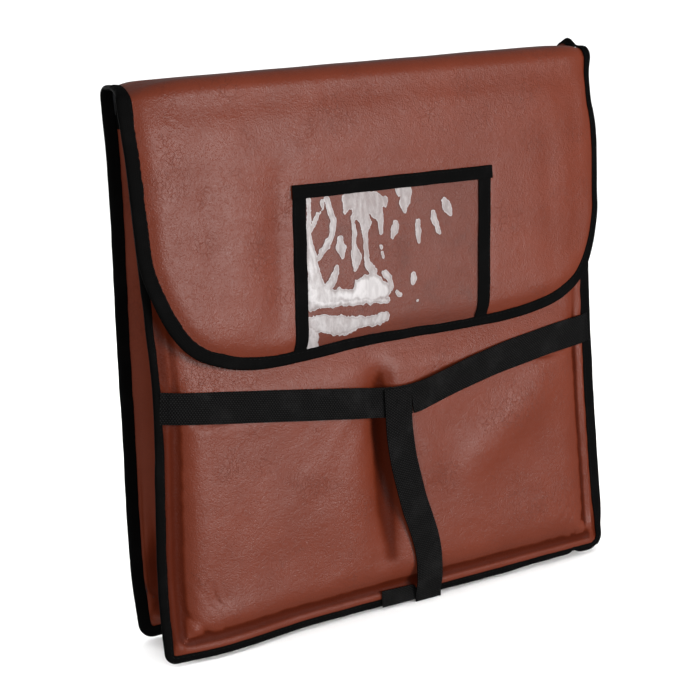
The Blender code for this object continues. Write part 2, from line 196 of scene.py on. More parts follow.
# ------------------------------------------------------------------ mesh helpers
def new_object(name, verts_mm, quads, material, uv=None, painted_light=None, sharp=50.0):
    """Turns layout millimetres into a closed mesh object with its faces pointing out."""
    verts = (np.asarray(verts_mm, float) + [0, SHIFT, 0]) / 1000
    quads = np.asarray(quads, int)
    a, b, c, d = (verts[quads[:, k]] for k in range(4))
    volume = (a * np.cross(b, c)).sum() + (a * np.cross(c, d)).sum()
    if volume < 0:
        quads = quads[:, ::-1]
    mesh = bpy.data.meshes.new(name)
    mesh.vertices.add(len(verts))
    mesh.vertices.foreach_set("co", verts.ravel())
    mesh.loops.add(quads.size)
    mesh.loops.foreach_set("vertex_index", quads.ravel())
    mesh.polygons.add(len(quads))
    mesh.polygons.foreach_set("loop_start", np.arange(0, quads.size, 4))
    mesh.update(calc_edges=True)
    if uv is not None:
        layer = mesh.uv_layers.new(name="grain")
        layer.data.foreach_set("uv", np.asarray(uv, float)[quads.ravel()].ravel())
    held = mesh.attributes.new("painted_light", "FLOAT", "POINT")
    held.data.foreach_set(
        "value", np.zeros(len(verts)) if painted_light is None else np.asarray(painted_light, float)
    )
    mesh.validate()
    mesh.shade_smooth()
    mesh.set_sharp_from_angle(angle=math.radians(sharp))
    mesh.materials.append(material)
    made = bpy.data.objects.new(name, mesh)
    bpy.context.scene.collection.objects.link(made)
    return made


def grid_quads(nu, nv, start=0, wrap=False):
    rows = nu if wrap else nu - 1
    i = np.arange(rows)[:, None]
    j = np.arange(nv - 1)[None, :]
    a = start + i * nv + j
    b = start + ((i + 1) % nu) * nv + j
    return np.stack([a, b, b + 1, a + 1], -1).reshape(-1, 4)


def shell(name, outer, inner, material, uv=None, painted_light=None, sharp=50.0):
    """One closed skin from the grids of its two faces, (nu, nv, 3) each."""
    nu, nv = outer.shape[:2]
    count = nu * nv
    top = grid_quads(nu, nv)
    low = grid_quads(nu, nv, count)[:, ::-1]
    edge = np.concatenate(
        [
            np.arange(nv),
            np.arange(1, nu) * nv + nv - 1,
            (nu - 1) * nv + np.arange(nv - 2, -1, -1),
            np.arange(nu - 2, 0, -1) * nv,
        ]
    )
    after = np.roll(edge, -1)
    rim = np.stack([edge, edge + count, after + count, after], 1)
    verts = np.concatenate([outer.reshape(-1, 3), inner.reshape(-1, 3)])
    quads = np.concatenate([top, low, rim])
    if uv is not None:
        uv = np.concatenate([uv.reshape(-1, 2)] * 2)
    if painted_light is not None:
        painted_light = np.concatenate([painted_light.ravel(), np.zeros(count)])
    return new_object(name, verts, quads, material, uv, painted_light, sharp)


def swept(name, sections, material, uv=None, painted_light=None, closed=False, sharp=60.0):
    """Closed sections, (count, around, 3), joined along a path; open ends are capped
    by drawing each end section in to its own middle."""
    n, m = sections.shape[:2]
    verts = sections.reshape(-1, 3)
    i = np.arange(n if closed else n - 1)[:, None]
    j = np.arange(m)[None, :]
    a = i * m + j
    b = ((i + 1) % n) * m + j
    a2 = i * m + (j + 1) % m
    b2 = ((i + 1) % n) * m + (j + 1) % m
    quads = [np.stack([a, b, b2, a2], -1).reshape(-1, 4)]
    if not closed:
        half = m // 2
        for base, flip in ((0, True), ((n - 1) * m, False)):
            cap = []
            for k in range(half - 1):
                cap.append(
                    [base + k, base + k + 1, base + m - 2 - k, base + m - 1 - k]
                )
            cap = np.array(cap)
            quads.append(cap[:, ::-1] if flip else cap)
    quads = np.concatenate(quads)
    if uv is not None:
        uv = uv.reshape(-1, 2)
    return new_object(name, verts, quads, material, uv, painted_light, sharp)


def blurred(w, times):
    for _ in range(times):
        p = np.pad(w, 1, mode="edge")
        w = (p[:-2, 1:-1] + p[2:, 1:-1] + p[1:-1, :-2] + p[1:-1, 2:] + 2 * w) / 6
    return w


def painted_groove_shade(w, scale=1.0, times=14):
    """Painted shade from the heights w: near 1 in a groove and below 0 on a crest, with some of the shade spread
    onto the steep sides.
    """
    painted_shade = np.clip((blurred(w, times) - w) / scale, -1, 1.2)
    return np.clip(painted_shade + 0.5 * np.maximum(blurred(painted_shade, 5), 0), -1, 1.3)


# ------------------------------------------------------------------ outlines
# Half shapes of the seams, read off the bag's silhouette: the sides draw in a little
# at the waist and spread at the bottom, as a filled soft bag's do.
front_left = table(
    [(0, -227.0), (20, -228), (50, -228.2), (94, -226.2), (140, -223.2), (185, -219.6), (232, -217),
     (270, -217.4), (333, -219.4), (390, -220.8), (430, -222), (463, -223)],
    14,
)
front_right = table(
    [(0, 225.5), (38, 225.6), (67, 224), (110, 221.6), (150, 219.6), (224, 217.6), (270, 218.6),
     (333, 220), (390, 221.5), (463, 223)],
    14,
)
back_side = table(
    [(0, 222.5), (20, 225), (45, 227.4), (85, 227.9), (136, 227), (193, 225.8), (262, 225), (310, 224.2),
     (357, 223), (404, 222.6), (449, 223), (475, 224)],
    14,
)
FRONT_TOP = 462.0
front_base = table(
    [(-5, 1.2), (60, 0.6), (140, -0.6), (200, -1.6), (240, -1.2), (300, 0), (470, 0)], 16
)
back_base = table(
    [(-5, 1), (60, 2.2), (120, 2.2), (190, 1.5), (262, 1.2), (310, 0), (357, -1), (404, -2),
     (440, -1.6), (462, 0), (480, 0)],
    14,
)


def front_plane(x, z):
    """The front seam's depth: the slack lower left of the panel rests a little forward."""
    slump = 9.0 * np.exp(-(((np.asarray(x, float) + 172) / 52) ** 2) - (np.asarray(z, float) / 40) ** 2)
    return front_base(z) - slump


def rounded_u(left, right, top, radius_left, radius_right, floor=0.0, step=3.0):
    """Down the left side, round the bottom corners and up the right side: (x, z)."""
    zs = np.arange(top, floor + radius_left, -3.0)
    a = np.stack([left(zs), zs], 1)
    t = np.radians(np.linspace(180, 270, 14))
    xl = left(floor + radius_left)
    b = np.stack(
        [xl + radius_left * (1 + np.cos(t)), floor + radius_left * (1 + np.sin(t))], 1
    )
    xr = right(floor + radius_right)
    x_run = np.arange(xl + radius_left, xr - radius_right, 3.0)
    c = np.stack([x_run, np.full(len(x_run), floor)], 1)
    t = np.radians(np.linspace(270, 360, 14))
    d = np.stack(
        [xr - radius_right * (1 - np.cos(t)), floor + radius_right * (1 + np.sin(t))], 1
    )
    zs = np.arange(floor + radius_right, top, 3.0)
    e = np.stack([right(zs), zs], 1)
    return resample(np.concatenate([a, b[1:], c[1:], d[1:], e[1:]]), step)


# ------------------------------------------------------------------ surfaces
# Each surface maps (x, s, w) to a point: s runs down or along the fabric and w is the
# height outwards over the seam plane or the flap's own middle.
R_MID = 9.35
CREASE_Z = 461.95
FRONT_C = -1.0
BACK_C = 26.6
STRIP_MID = 12.8
S_FRONT = STRIP_MID - FRONT_C
S_BACK = BACK_C - STRIP_MID
ARC = R_MID * math.pi / 2


def on_front(x, z, w):
    x, z, w = np.broadcast_arrays(*(np.asarray(q, float) for q in (x, z, w)))
    return np.stack([x, front_plane(x, z) - w, z], -1)


def on_flap(x, s, w):
    """s = 0 in the middle of the top strip, growing forwards and then down."""
    x, s, w = np.broadcast_arrays(*(np.asarray(q, float) for q in (x, s, w)))
    phi = np.clip((s - S_FRONT) / R_MID, 0, math.pi / 2)
    r = R_MID + w
    y = FRONT_C - r * np.sin(phi)
    z = CREASE_Z + r * np.cos(phi)
    y = np.where(s < S_FRONT, STRIP_MID - s, y)
    z = np.where(s > S_FRONT + ARC, CREASE_Z - (s - S_FRONT - ARC), z)
    return np.stack([x, y, z], -1)


def on_back(x, s, w):
    """s = 0 in the middle of the top strip, growing backwards and then down."""
    x, s, w = np.broadcast_arrays(*(np.asarray(q, float) for q in (x, s, w)))
    phi = np.clip((s - S_BACK) / R_MID, 0, math.pi / 2)
    r = R_MID + w
    y = BACK_C + r * np.sin(phi)
    z = CREASE_Z + r * np.cos(phi)
    y = np.where(s < S_BACK, STRIP_MID + s, y)
    down = CREASE_Z - (s - S_BACK - ARC)
    lean = smoothstep(CREASE_Z, CREASE_Z - 60, down)
    plane = BACK_C + R_MID + (depth_at(down) - depth_at(CREASE_Z)) + 0.7 * lean
    plane = plane + back_base(down) * lean
    y = np.where(s > S_BACK + ARC, plane + w, y)
    z = np.where(s > S_BACK + ARC, down, z)
    return np.stack([x, y, z], -1)


def flap_s(z):
    return CREASE_Z - np.asarray(z, float) + S_FRONT + ARC


def back_s(z):
    return CREASE_Z - np.asarray(z, float) + S_BACK + ARC


# ------------------------------------------------------------------ puffed profiles
# Height over the seam against the distance n from the outer edge: out of the tape, a
# soft lip, the stitched-down groove round the pad, then the padded field.
front_rise = table(
    [(0, 0.8), (6.6, 0.9), (8.0, 1.9), (9.6, 3.7), (11.4, 4.2), (13, 3.4), (15.6, 0.5), (17.4, 1.0),
     (20.5, 3.5), (24.5, 6.2), (28.5, 8.1), (33, 9.2), (40, 10.0), (60, 10.6), (110, 11.0), (260, 11.2)],
    0.7,
)
# along the left and bottom edges the lip is narrow and the stitched groove broad
narrow_rise = table(
    [(0, 0.8), (6.6, 0.9), (8.0, 1.9), (9.4, 3.2), (10.8, 3.7), (12, 3.0), (13.6, 1.2), (15.5, 0.5),
     (18.5, 0.5), (21, 1.6), (24.5, 4.3), (28.5, 6.8), (33, 8.6), (40, 9.9), (60, 10.6), (110, 11.0),
     (260, 11.2)],
    0.7,
)
hidden_rise = table(
    [(0, 1.0), (8, 1.4), (11, 1.7), (14, 2.4), (19.5, 1.4), (24, 3.2), (30, 4.6), (50, 5.1),
     (260, 5.2)],
    0.9,
)
flap_rise = table(
    [(0, 0.4), (6.5, 0.9), (9.5, 1.1), (12, 2.3), (16, 4.4), (20, 5.7), (25, 6.4), (34, 6.7), (80, 6.9),
     (260, 7.0)],
    0.9,
)
flap_rise_right = table(
    [(0, 0.4), (6.0, 0.8), (7.5, 1.3), (10, 2.7), (12.5, 3.2), (17, 3.3), (24, 3.7), (34, 4.7), (50, 6.0),
     (75, 6.9), (260, 7.0)],
    0.9,
)


def front_w(x, z):
    """The front panel's face over its seam plane."""
    wave = 1.0 + 0.0 * x
    edge_l, edge_r = x - front_left(z), front_right(z) - x
    low = z - 0.0
    high = FRONT_TOP - z
    n = soft_min([edge_l, edge_r, low, high], 2.6)
    around = np.arctan2(z - 230, x) * 60
    n = n + 1.0 * fbm(x / 34, z / 34, 3, 2) * np.exp(-(((n - 18) / 10) ** 2))
    # the lip is broader along the bottom and lies past a wider tape on the right
    past_low = smoothstep(-10, 10, np.minimum(edge_l, edge_r) - low)
    past_right = smoothstep(-10, 10, low - edge_r) * smoothstep(0, 60, x)
    past_left = smoothstep(-10, 10, low - edge_l) * smoothstep(0, -60, x)
    past_edge = np.maximum(past_low, past_left)
    n_open = n - 4.6 * past_right * smoothstep(2, 8, n)
    open_w = front_rise(n_open) * (1 - past_edge) + narrow_rise(n) * past_edge
    open_w = open_w * (1 + 0.05 * noise2(around / 9, n / 40, 5))
    shut_w = hidden_rise(n)
    under = smoothstep(212, 246, z)
    w = open_w * (1 - under) + shut_w * under
    field = smoothstep(22, 50, n) * (1 - under)
    low_field = smoothstep(225, 120, z)
    # the strap's pull raises a diagonal swell with a flatter place below it
    w = w + field * streak(x, z, 112, 145, 36.4, 62, 20, 3.6)
    w = w + field * streak(x, z, 152, 116, 40, 60, 26, -1.0)
    # a long upright fold falls from the strap's joint, steeper on the brace's side
    across = x - (-12.6 + 0.0009 * (z - 100) ** 2 * (z < 100))
    depth = 9.0 * smoothstep(-10, 150, z) * smoothstep(240, 194, z)
    w = w - field * depth * np.where(
        across < 0, np.exp(-((across / 16.0) ** 2)), np.exp(-((across / 9.0) ** 2))
    )
    w = w + field * streak(x, z, 36, 84, 98, 70, 16, 1.0)
    w = w + field * streak(x, z, -50, 90, 88, 80, 20, 1.2)
    # the lower left corner of the pad sinks in behind a fuller lip
    w = w + streak(x, z, -188, 40, 45, 22, 12, -1.8) * smoothstep(20, 34, n)
    w = w + streak(x, z, -214, 14, 40, 9, 2.6, 1.8) * smoothstep(6, 10, n)
    # the lip spreads into a flat triangle at the lower right corner
    w = w + streak(x, z, 196, 25, 22, 18, 7, 2.0) * smoothstep(11, 16, n)
    w = w + field * low_field * 1.5 * fbm(x / 95, z / 85, 11, 2)
    # puckers run in from the bottom corners and along the stitched groove
    for side, x0 in ((-1, -206.0), (1, 205.0)):
        c = (x - x0) * side
        w = w + streak(x, z, x0 - side * 10, 30, 90 - side * 38, 20, 3.0, -1.5) * smoothstep(16, 24, n)
        w = w + packet(x, z, x0 - side * 26, 44, 90 - side * 30, 26, 16, 9, 0.5) * smoothstep(18, 26, n)
    ring = np.exp(-(((n - 24) / 7) ** 2))
    w = w + ring * 0.5 * noise2(x / 11, z / 11, 21) * (1 - under)
    lip = np.exp(-(((n - 12) / 3.0) ** 2))
    w = w + lip * 0.55 * noise2(x / 13, z / 13, 22)
    # crinkles of the sheet itself
    w = w + field * packet(x, z, -180, 88, 25, 22, 18, 5.5, 0.28)
    w = w + field * packet(x, z, -100, 150, 80, 26, 26, 6.5, 0.16)
    w = w + field * packet(x, z, 95, 160, 50, 30, 22, 6.0, 0.15)
    w = w + field * 0.18 * fbm(x / 16, z / 16, 31, 3)
    floor = 0.45 * smoothstep(7, 10, n)
    return np.where(n > 6, np.maximum(w, floor), w)


def front_cover_limit(x, z, w):
    """Keeps the hidden part under the hook-and-loop strips."""
    top = 5.15 + front_base(z)
    shut = smoothstep(236, 250, z)
    return np.where(w > top, w * (1 - shut) + np.minimum(w, top) * shut, w)


# ------------------------------------------------------------------ materials
def material(name):
    made = bpy.data.materials.new(name)
    made.use_nodes = True
    tree = made.node_tree
    shader = next(n for n in tree.nodes if n.type == "BSDF_PRINCIPLED")
    return made, tree, shader


class Nodes:
    """Small helpers for building one material's node tree."""

    def __init__(self, tree):
        self.tree = tree

    def add(self, kind, **settings):
        node = self.tree.nodes.new(kind)
        for key, value in settings.items():
            setattr(node, key, value)
        return node

    def put(self, socket, value):
        if hasattr(value, "is_output"):
            self.tree.links.new(value, socket)
        elif value is not None:
            socket.default_value = value

    def math(self, op, a, b=None, c=None, clamp=False):
        node = self.add("ShaderNodeMath", operation=op, use_clamp=clamp)
        for k, value in enumerate((a, b, c)):
            if value is not None:
                self.put(node.inputs[k], value)
        return node.outputs[0]

    def uv(self, name="grain"):
        return self.add("ShaderNodeUVMap", uv_map=name).outputs[0]

    def scaled(self, vector, scale, offset=(0, 0, 0), rotate=0.0):
        node = self.add("ShaderNodeMapping")
        self.put(node.inputs["Vector"], vector)
        node.inputs["Scale"].default_value = scale
        node.inputs["Location"].default_value = offset
        node.inputs["Rotation"].default_value = (0, 0, rotate)
        return node.outputs[0]

    def noise(self, vector, scale, detail=2.0, rough=0.5, distort=0.0):
        node = self.add("ShaderNodeTexNoise")
        self.put(node.inputs["Vector"], vector)
        node.inputs["Scale"].default_value = scale
        node.inputs["Detail"].default_value = detail
        node.inputs["Roughness"].default_value = rough
        node.inputs["Distortion"].default_value = distort
        return node.outputs[0]

    def voronoi(self, vector, scale, feature="F1", randomness=1.0, smooth=None):
        node = self.add("ShaderNodeTexVoronoi", feature=feature)
        self.put(node.inputs["Vector"], vector)
        node.inputs["Scale"].default_value = scale
        node.inputs["Randomness"].default_value = randomness
        if smooth is not None and "Smoothness" in node.inputs:
            node.inputs["Smoothness"].default_value = smooth
        return node.outputs["Distance"]

    def ramp(self, value, low, high, a=0.0, b=1.0):
        node = self.add("ShaderNodeMapRange", interpolation_type="SMOOTHSTEP")
        self.put(node.inputs["Value"], value)
        node.inputs["From Min"].default_value = low
        node.inputs["From Max"].default_value = high
        node.inputs["To Min"].default_value = a
        node.inputs["To Max"].default_value = b
        return node.outputs["Result"]

    def mix(self, factor, a, b):
        node = self.add("ShaderNodeMix", data_type="RGBA")
        self.put(node.inputs[0], factor)
        for socket, value in ((node.inputs[6], a), (node.inputs[7], b)):
            if isinstance(value, tuple):
                value = (*value, 1.0) if len(value) == 3 else value
            self.put(socket, value)
        return node.outputs[2]

    def attribute(self, name):
        return self.add("ShaderNodeAttribute", attribute_name=name).outputs["Fac"]

    def bump(self, height, distance, strength=1.0, normal=None):
        node = self.add("ShaderNodeBump")
        node.inputs["Strength"].default_value = strength
        node.inputs["Distance"].default_value = distance
        self.put(node.inputs["Height"], height)
        if normal is not None:
            self.put(node.inputs["Normal"], normal)
        return node.outputs[0]


def set_shader(shader, **values):
    for key, value in values.items():
        shader.inputs[key.replace("_", " ")].default_value = value


def leather(name, dark, mid, light, rough=0.47, grain=1.0):
    """Soft coated cloth: pebbled grain, hairline creases, cloudy colour, and painted shade that darkens its
    grooves and dulls their sheen.
    """
    made, tree, shader = material(name)
    n = Nodes(tree)
    uv = n.uv()
    bent = n.add("ShaderNodeVectorMath", operation="MULTIPLY_ADD")
    wobble = n.add("ShaderNodeTexNoise")
    n.put(wobble.inputs["Vector"], uv)
    wobble.inputs["Scale"].default_value = 0.11
    wobble.inputs["Detail"].default_value = 3.0
    n.put(bent.inputs[0], wobble.outputs["Color"])
    bent.inputs[1].default_value = (9, 9, 9)
    n.put(bent.inputs[2], uv)
    bent = bent.outputs[0]
    pebbles = n.voronoi(bent, 0.66, "SMOOTH_F1", 1.0, 0.35)
    pebble_height = n.ramp(pebbles, 0.05, 0.62, 1.0, 0.0)
    fine = n.noise(uv, 1.9, 2.0, 0.6)
    lines_a = n.ramp(n.voronoi(bent, 0.17, "DISTANCE_TO_EDGE"), 0.0, 0.045, 0.0, 1.0)
    lines_b = n.ramp(
        n.voronoi(n.scaled(bent, (0.62, 0.2, 1), rotate=0.7), 0.42, "DISTANCE_TO_EDGE"),
        0.0, 0.05, 0.0, 1.0,
    )
    where_a = n.ramp(n.noise(uv, 0.021, 3.0, 0.6), 0.50, 0.68)
    where_b = n.ramp(n.noise(n.scaled(uv, (1, 1, 1), (70, 31, 0)), 0.017, 2.0, 0.5), 0.50, 0.7)
    lines_a = n.math("MULTIPLY_ADD", n.math("SUBTRACT", 1.0, lines_a), where_a, 0.0)
    lines_b = n.math("MULTIPLY", n.math("SUBTRACT", 1.0, lines_b), where_b)
    lines = n.math("MAXIMUM", lines_a, lines_b)
    lumps = n.noise(uv, 0.13, 3.0, 0.55, 0.6)
    crinkle = n.noise(n.scaled(uv, (1.0, 1.25, 1.0)), 0.42, 3.0, 0.62, 1.3)
    height = n.math("MULTIPLY", pebble_height, 0.5)
    height = n.math("MULTIPLY_ADD", fine, 0.3, height)
    height = n.math("MULTIPLY_ADD", lines, -0.5, height)
    normal = n.bump(lumps, 0.0006 * grain, 0.6)
    normal = n.bump(crinkle, 0.00030 * grain, 0.6, normal)
    normal = n.bump(height, 0.00034 * grain, 0.7, normal)
    n.put(shader.inputs["Normal"], normal)
    cloud = n.noise(uv, 0.014, 3.0, 0.55)
    patch = n.noise(uv, 0.09, 3.0, 0.6)
    colour = n.mix(n.ramp(cloud, 0.35, 0.68), mid, light)
    colour = n.mix(n.math("MULTIPLY", n.ramp(patch, 0.4, 0.75), 0.35), colour, mid)
    # painted shade: where this attribute is high the colour is mixed toward the dark colour, standing in for
    # shade in grooves and folds
    painted_light = n.attribute("painted_light")
    colour = n.mix(n.ramp(painted_light, 0.12, 1.1, 0.0, 0.8), colour, dark)
    colour = n.mix(n.math("MULTIPLY", lines, 0.3), colour, dark)
    n.put(shader.inputs["Base Color"], colour)
    roughness = n.math("MULTIPLY_ADD", n.noise(uv, 0.05, 3.0, 0.6), 0.16, rough - 0.08)
    roughness = n.math("MULTIPLY_ADD", pebble_height, -0.07, roughness)
    n.put(shader.inputs["Roughness"], roughness)
    set_shader(shader, Metallic=0.0)
    # the painted shade also turns the sheen down in grooves and folds
    n.put(shader.inputs["Specular IOR Level"], n.ramp(painted_light, 0.05, 0.8, 0.45, 0.06))
    return made


def woven(name, base, thread, pitch_u, pitch_v, rough=0.72, depth=0.00018, twill=0.5):
    """Narrow woven cloth: ribs across its length, threads along it, a little fuzz."""
    made, tree, shader = material(name)
    n = Nodes(tree)
    uv = n.uv()
    parts = n.add("ShaderNodeSeparateXYZ")
    n.put(parts.inputs[0], uv)
    u, v = parts.outputs[0], parts.outputs[1]
    wander = n.noise(uv, 0.35, 2.0, 0.5)
    row = n.math("FLOOR", n.math("DIVIDE", v, pitch_v))
    shift = n.math("MULTIPLY", row, twill)
    phase = n.math("ADD", n.math("DIVIDE", u, pitch_u), shift)
    phase = n.math("MULTIPLY_ADD", wander, 0.5, phase)
    rib = n.math("ABSOLUTE", n.math("SINE", n.math("MULTIPLY", phase, math.pi)))
    thread_v = n.math(
        "ABSOLUTE", n.math("SINE", n.math("MULTIPLY", n.math("DIVIDE", v, pitch_v), math.pi))
    )
    height = n.math("MULTIPLY", n.math("POWER", rib, 1.2), n.math("POWER", thread_v, 0.6))
    fuzz = n.noise(uv, 3.1, 3.0, 0.7)
    total = n.math("MULTIPLY_ADD", fuzz, 0.35, height)
    normal = n.bump(total, depth, 0.9)
    n.put(shader.inputs["Normal"], normal)
    worn = n.ramp(n.noise(uv, 0.03, 4.0, 0.65), 0.45, 0.75)
    colour = n.mix(n.math("MULTIPLY", height, 0.85), base, thread)
    colour = n.mix(n.math("MULTIPLY", worn, 0.3), colour, tuple(1.9 * c for c in thread))
    # painted shade: folds, hidden faces and edges of tape and webbing are mixed toward a darker copy of the base
    # colour
    painted_light = n.attribute("painted_light")
    colour = n.mix(n.ramp(painted_light, 0.05, 0.9, 0.0, 0.7), colour, tuple(0.3 * c for c in base))
    n.put(shader.inputs["Base Color"], colour)
    n.put(shader.inputs["Roughness"], n.math("MULTIPLY_ADD", fuzz, 0.2, rough - 0.1))
    shader.inputs["Specular IOR Level"].default_value = 0.05
    return made


LEATHER = leather("cover_vinyl_skin", (0.060, 0.008, 0.003), (0.190, 0.0315, 0.0110), (0.212, 0.0365, 0.0135))
TAPE = woven("binding_tape_weave", (0.0015, 0.0015, 0.0015), (0.0060, 0.0057, 0.0057), 1.5, 1.0, 0.8, 0.0002)
WEB = woven("webbing_weave", (0.0006, 0.0006, 0.0006), (0.0230, 0.0222, 0.0222), 2.4, 1.6, 0.7, 0.0007)
THREAD = woven("seam_thread", (0.003, 0.003, 0.003), (0.015, 0.015, 0.015), 0.5, 0.3, 0.6, 0.00005)
LINER = woven("lining_weave", (0.020, 0.021, 0.023), (0.060, 0.062, 0.066), 0.7, 0.7, 0.5, 0.00008)
FOAM = leather("foam_pores", (0.35, 0.33, 0.29), (0.62, 0.60, 0.54), (0.70, 0.68, 0.62), 0.95, 2.0)
HOOKS = woven("hook_and_loop_pile", (0.004, 0.004, 0.004), (0.030, 0.030, 0.031), 1.6, 1.6, 0.95, 0.0006)


# ------------------------------------------------------------------ tape and thread
def inward_of(path, centre):
    t = np.gradient(path, axis=0)
    t /= np.linalg.norm(t, axis=1)[:, None]
    n = np.stack([-t[:, 1], t[:, 0]], 1)
    flip = ((np.asarray(centre) - path) * n).sum(1).mean() < 0
    return -n if flip else n


def bound_edge(name, place, path, inward, h_out, h_in, thick=0.85, leg=11.0, seed=0,
               shape=None, nose=None, wave=1.0):
    """Binding tape folded over an edge: a soft U section carried along the edge.
    h_out and h_in, one per point, are the half thicknesses of what it holds."""
    s = arc_lengths(path)
    count = len(path)
    h_out, h_in = np.broadcast_to(h_out, count), np.broadcast_to(h_in, count)
    t = thick
    sections, uvs, painted_light = [], [], []
    free = smoothstep(0, 22, np.minimum(s, s[-1] - s))
    edge = 0.45 * wave * free * fbm(s / 26, 0.3, seed + 1, 2)
    edge = edge + (0 if nose is None else nose)
    leg_a = leg + 0.6 * wave * free * fbm(s / 22, 0.7, seed + 2, 2)
    leg_b = leg + 0.6 * wave * free * fbm(s / 22, 0.9, seed + 3, 2)
    rip = 0.10 * wave * free * np.cos(2 * math.pi * s / 4.4 + 0.6 * np.sin(s / 13))
    lift = 0.22 * wave * free * fbm(s / 15, 0.2, seed + 4, 2)
    # each point is (distance in, height, share of painted shade): the inner faces and the outer legs near their
    # edges get painted shade
    for side_pts in (
        [
            (leg_a, h_out + 0.8 * t + lift + rip * 0.4, 1.0),
            (leg_a - 0.55, h_out + t + 0.12 + lift + rip * 0.4, 0.35),
            (leg_a - 2.2, h_out + t - 0.02 + rip, 0.3),
            (4.2, h_out + t + 0.30, -0.3),
            (2.5, h_out + t + 0.2, -0.2),
            (1.1, h_out + t - 0.35, 0.0),
            (0.12, 0.45 * h_out, 0.0),
            (0.12, -0.45 * h_in, 0.0),
            (1.1, -h_in - t + 0.35, 0.0),
            (2.5, -h_in - t - 0.2, -0.2),
            (4.2, -h_in - t - 0.30, -0.3),
            (leg_b - 2.2, -h_in - t + 0.02 - rip, 0.3),
            (leg_b - 0.55, -h_in - t - 0.12, 0.35),
            (leg_b, -h_in - 0.8 * t, 1.0),
            (leg_b, -h_in + 0.02, 1.0),
            (leg_b - 0.55, -h_in, 1.0),
            (leg_b - 2.2, -h_in, 1.0),
            (4.2, -h_in, 1.0),
            (2.6, -h_in + 0.05, 1.0),
            (1.7, -h_in + 0.3, 1.0),
            (t + 0.1, -0.4 * h_in, 1.0),
            (t + 0.1, 0.4 * h_out, 1.0),
            (1.7, h_out - 0.3, 1.0),
            (2.6, h_out - 0.05, 1.0),
            (4.2, h_out, 1.0),
            (leg_a - 2.2, h_out, 1.0),
            (leg_a - 0.55, h_out, 1.0),
            (leg_a, h_out - 0.02, 1.0),
        ],
    ):
        across = 0.0
        last = None
        for n, w, painted_shade_share in side_pts:
            n = np.broadcast_to(n, count) + edge
            w = np.broadcast_to(w, count)
            if last is not None:
                across = across + float(np.hypot(n - last[0], w - last[1]).mean())
            last = (n, w)
            q = path + inward * n[:, None]
            extra = 0.0 if shape is None else shape(q[:, 0], q[:, 1])
            sections.append(place(q[:, 0], q[:, 1], w + extra))
            uvs.append(np.stack([s, np.full(count, across)], 1))
            painted_light.append(np.full(count, painted_shade_share * 0.5))
    sections = np.stack(sections, 1)
    made = swept(name, sections, TAPE, np.stack(uvs, 1), np.stack(painted_light, 1).ravel())
    return made


def stitches(name, points, normals, pitch=4.4, length=2.9, thick=0.42, sink=0.10):
    """A row of short thread stitches along points, each lying on the surface."""
    points, normals = np.asarray(points, float), np.asarray(normals, float)
    s = arc_lengths(points)
    starts = np.arange(pitch * 0.4, s[-1] - length, pitch)
    at = lambda v, q: np.stack([np.interp(q, s, v[:, k]) for k in range(3)], 1)
    verts, quads, uvs = [], [], []
    around = 6
    profile = [(0.0, 0.35, -0.9), (0.12, 0.85, -0.1), (0.5, 1.0, 0.35), (0.88, 0.85, -0.1), (1.0, 0.35, -0.9)]
    for start in starts:
        q = start + length * np.array([p[0] for p in profile])
        c = at(points, q)
        n = at(normals, q)
        n /= np.linalg.norm(n, axis=1)[:, None]
        t = c[-1] - c[0]
        t /= np.linalg.norm(t)
        b = np.cross(n, t)
        base = len(verts) * around
        for k, (_, r, up_) in enumerate(profile):
            ring = []
            for m in range(around):
                a = 2 * math.pi * m / around
                ring.append(
                    c[k]
                    + n[k] * (thick / 2 * (r * math.sin(a) + up_) - sink)
                    + b[k] * thick * 0.62 * r * math.cos(a)
                )
            verts.append(ring)
            uvs.append([(q[k], m * 0.3) for m in range(around)])
        for k in range(len(profile) - 1):
            for m in range(around):
                a0, a1 = base + k * around + m, base + k * around + (m + 1) % around
                quads.append([a0, a1, a1 + around, a0 + around])
        for k, flip in ((0, True), (len(profile) - 1, False)):
            r0 = base + k * around
            for cap in ([r0, r0 + 1, r0 + 2, r0 + 3], [r0, r0 + 3, r0 + 4, r0 + 5]):
                quads.append(cap[::-1] if flip else cap)
    verts = np.array(verts).reshape(-1, 3)
    made = new_object(name, verts, np.array(quads), THREAD, np.array(uvs).reshape(-1, 2))
    return made


def edge_stitches(name, place, path, inward, n, w, shape=None, outward=1.0):
    q = path + inward * n
    extra = 0.0 if shape is None else shape(q[:, 0], q[:, 1])
    low = place(q[:, 0], q[:, 1], w + extra)
    high = place(q[:, 0], q[:, 1], w + extra + outward)
    return stitches(name, low, high - low)


# ------------------------------------------------------------------ front panel
def strap_height(x):
    t = np.minimum(np.abs(x) / 213.5, 1.0)
    slack = np.interp(x, [0, 20, 54, 96, 140, 195, 213], [0, 0.6, 3.0, 5.2, 4.6, 2.8, 1.8])
    return 188.0 + 29.0 * np.sqrt(t * t + 0.0064) / math.sqrt(1.0064) + slack


def strap_out(x):
    x = np.abs(np.asarray(x, float))
    t = np.clip(x / 203.5, 0, 1)
    dome = 6.5 + 11.5 * (1 - t * t) ** 0.8
    edge = np.interp(x, [203.5, 209.5, 213.5], [6.5, 3.4, 2.9])
    return np.where(x > 203.5, edge, dome)


def front_face(x, z):
    """The front cover's outer face, pressed flat under the strap's sewn ends."""
    w = front_cover_limit(x, z, front_w(x, z))
    under = strap_out(x) - 1.5 + front_base(z)
    under = under + 5.0 * smoothstep(13.5, 21, np.abs(z - strap_height(x)))
    k = 0.5
    return -k * np.log(np.exp(-w / k) + np.exp(-under / k))


def front_grid(step, inset, top):
    nu, nv = int(450 / step) + 1, int(460 / step) + 1
    v = np.linspace(0, 1, nv)[None, :]
    u = np.linspace(0, 1, nu)[:, None]
    z = inset + (top - inset) * v + 0 * u
    xl, xr = front_left(z) + inset, front_right(z) - inset
    return xl + (xr - xl) * u, z


x, z = front_grid(3.2, 6.0, 459.5)
w = front_face(x, z)
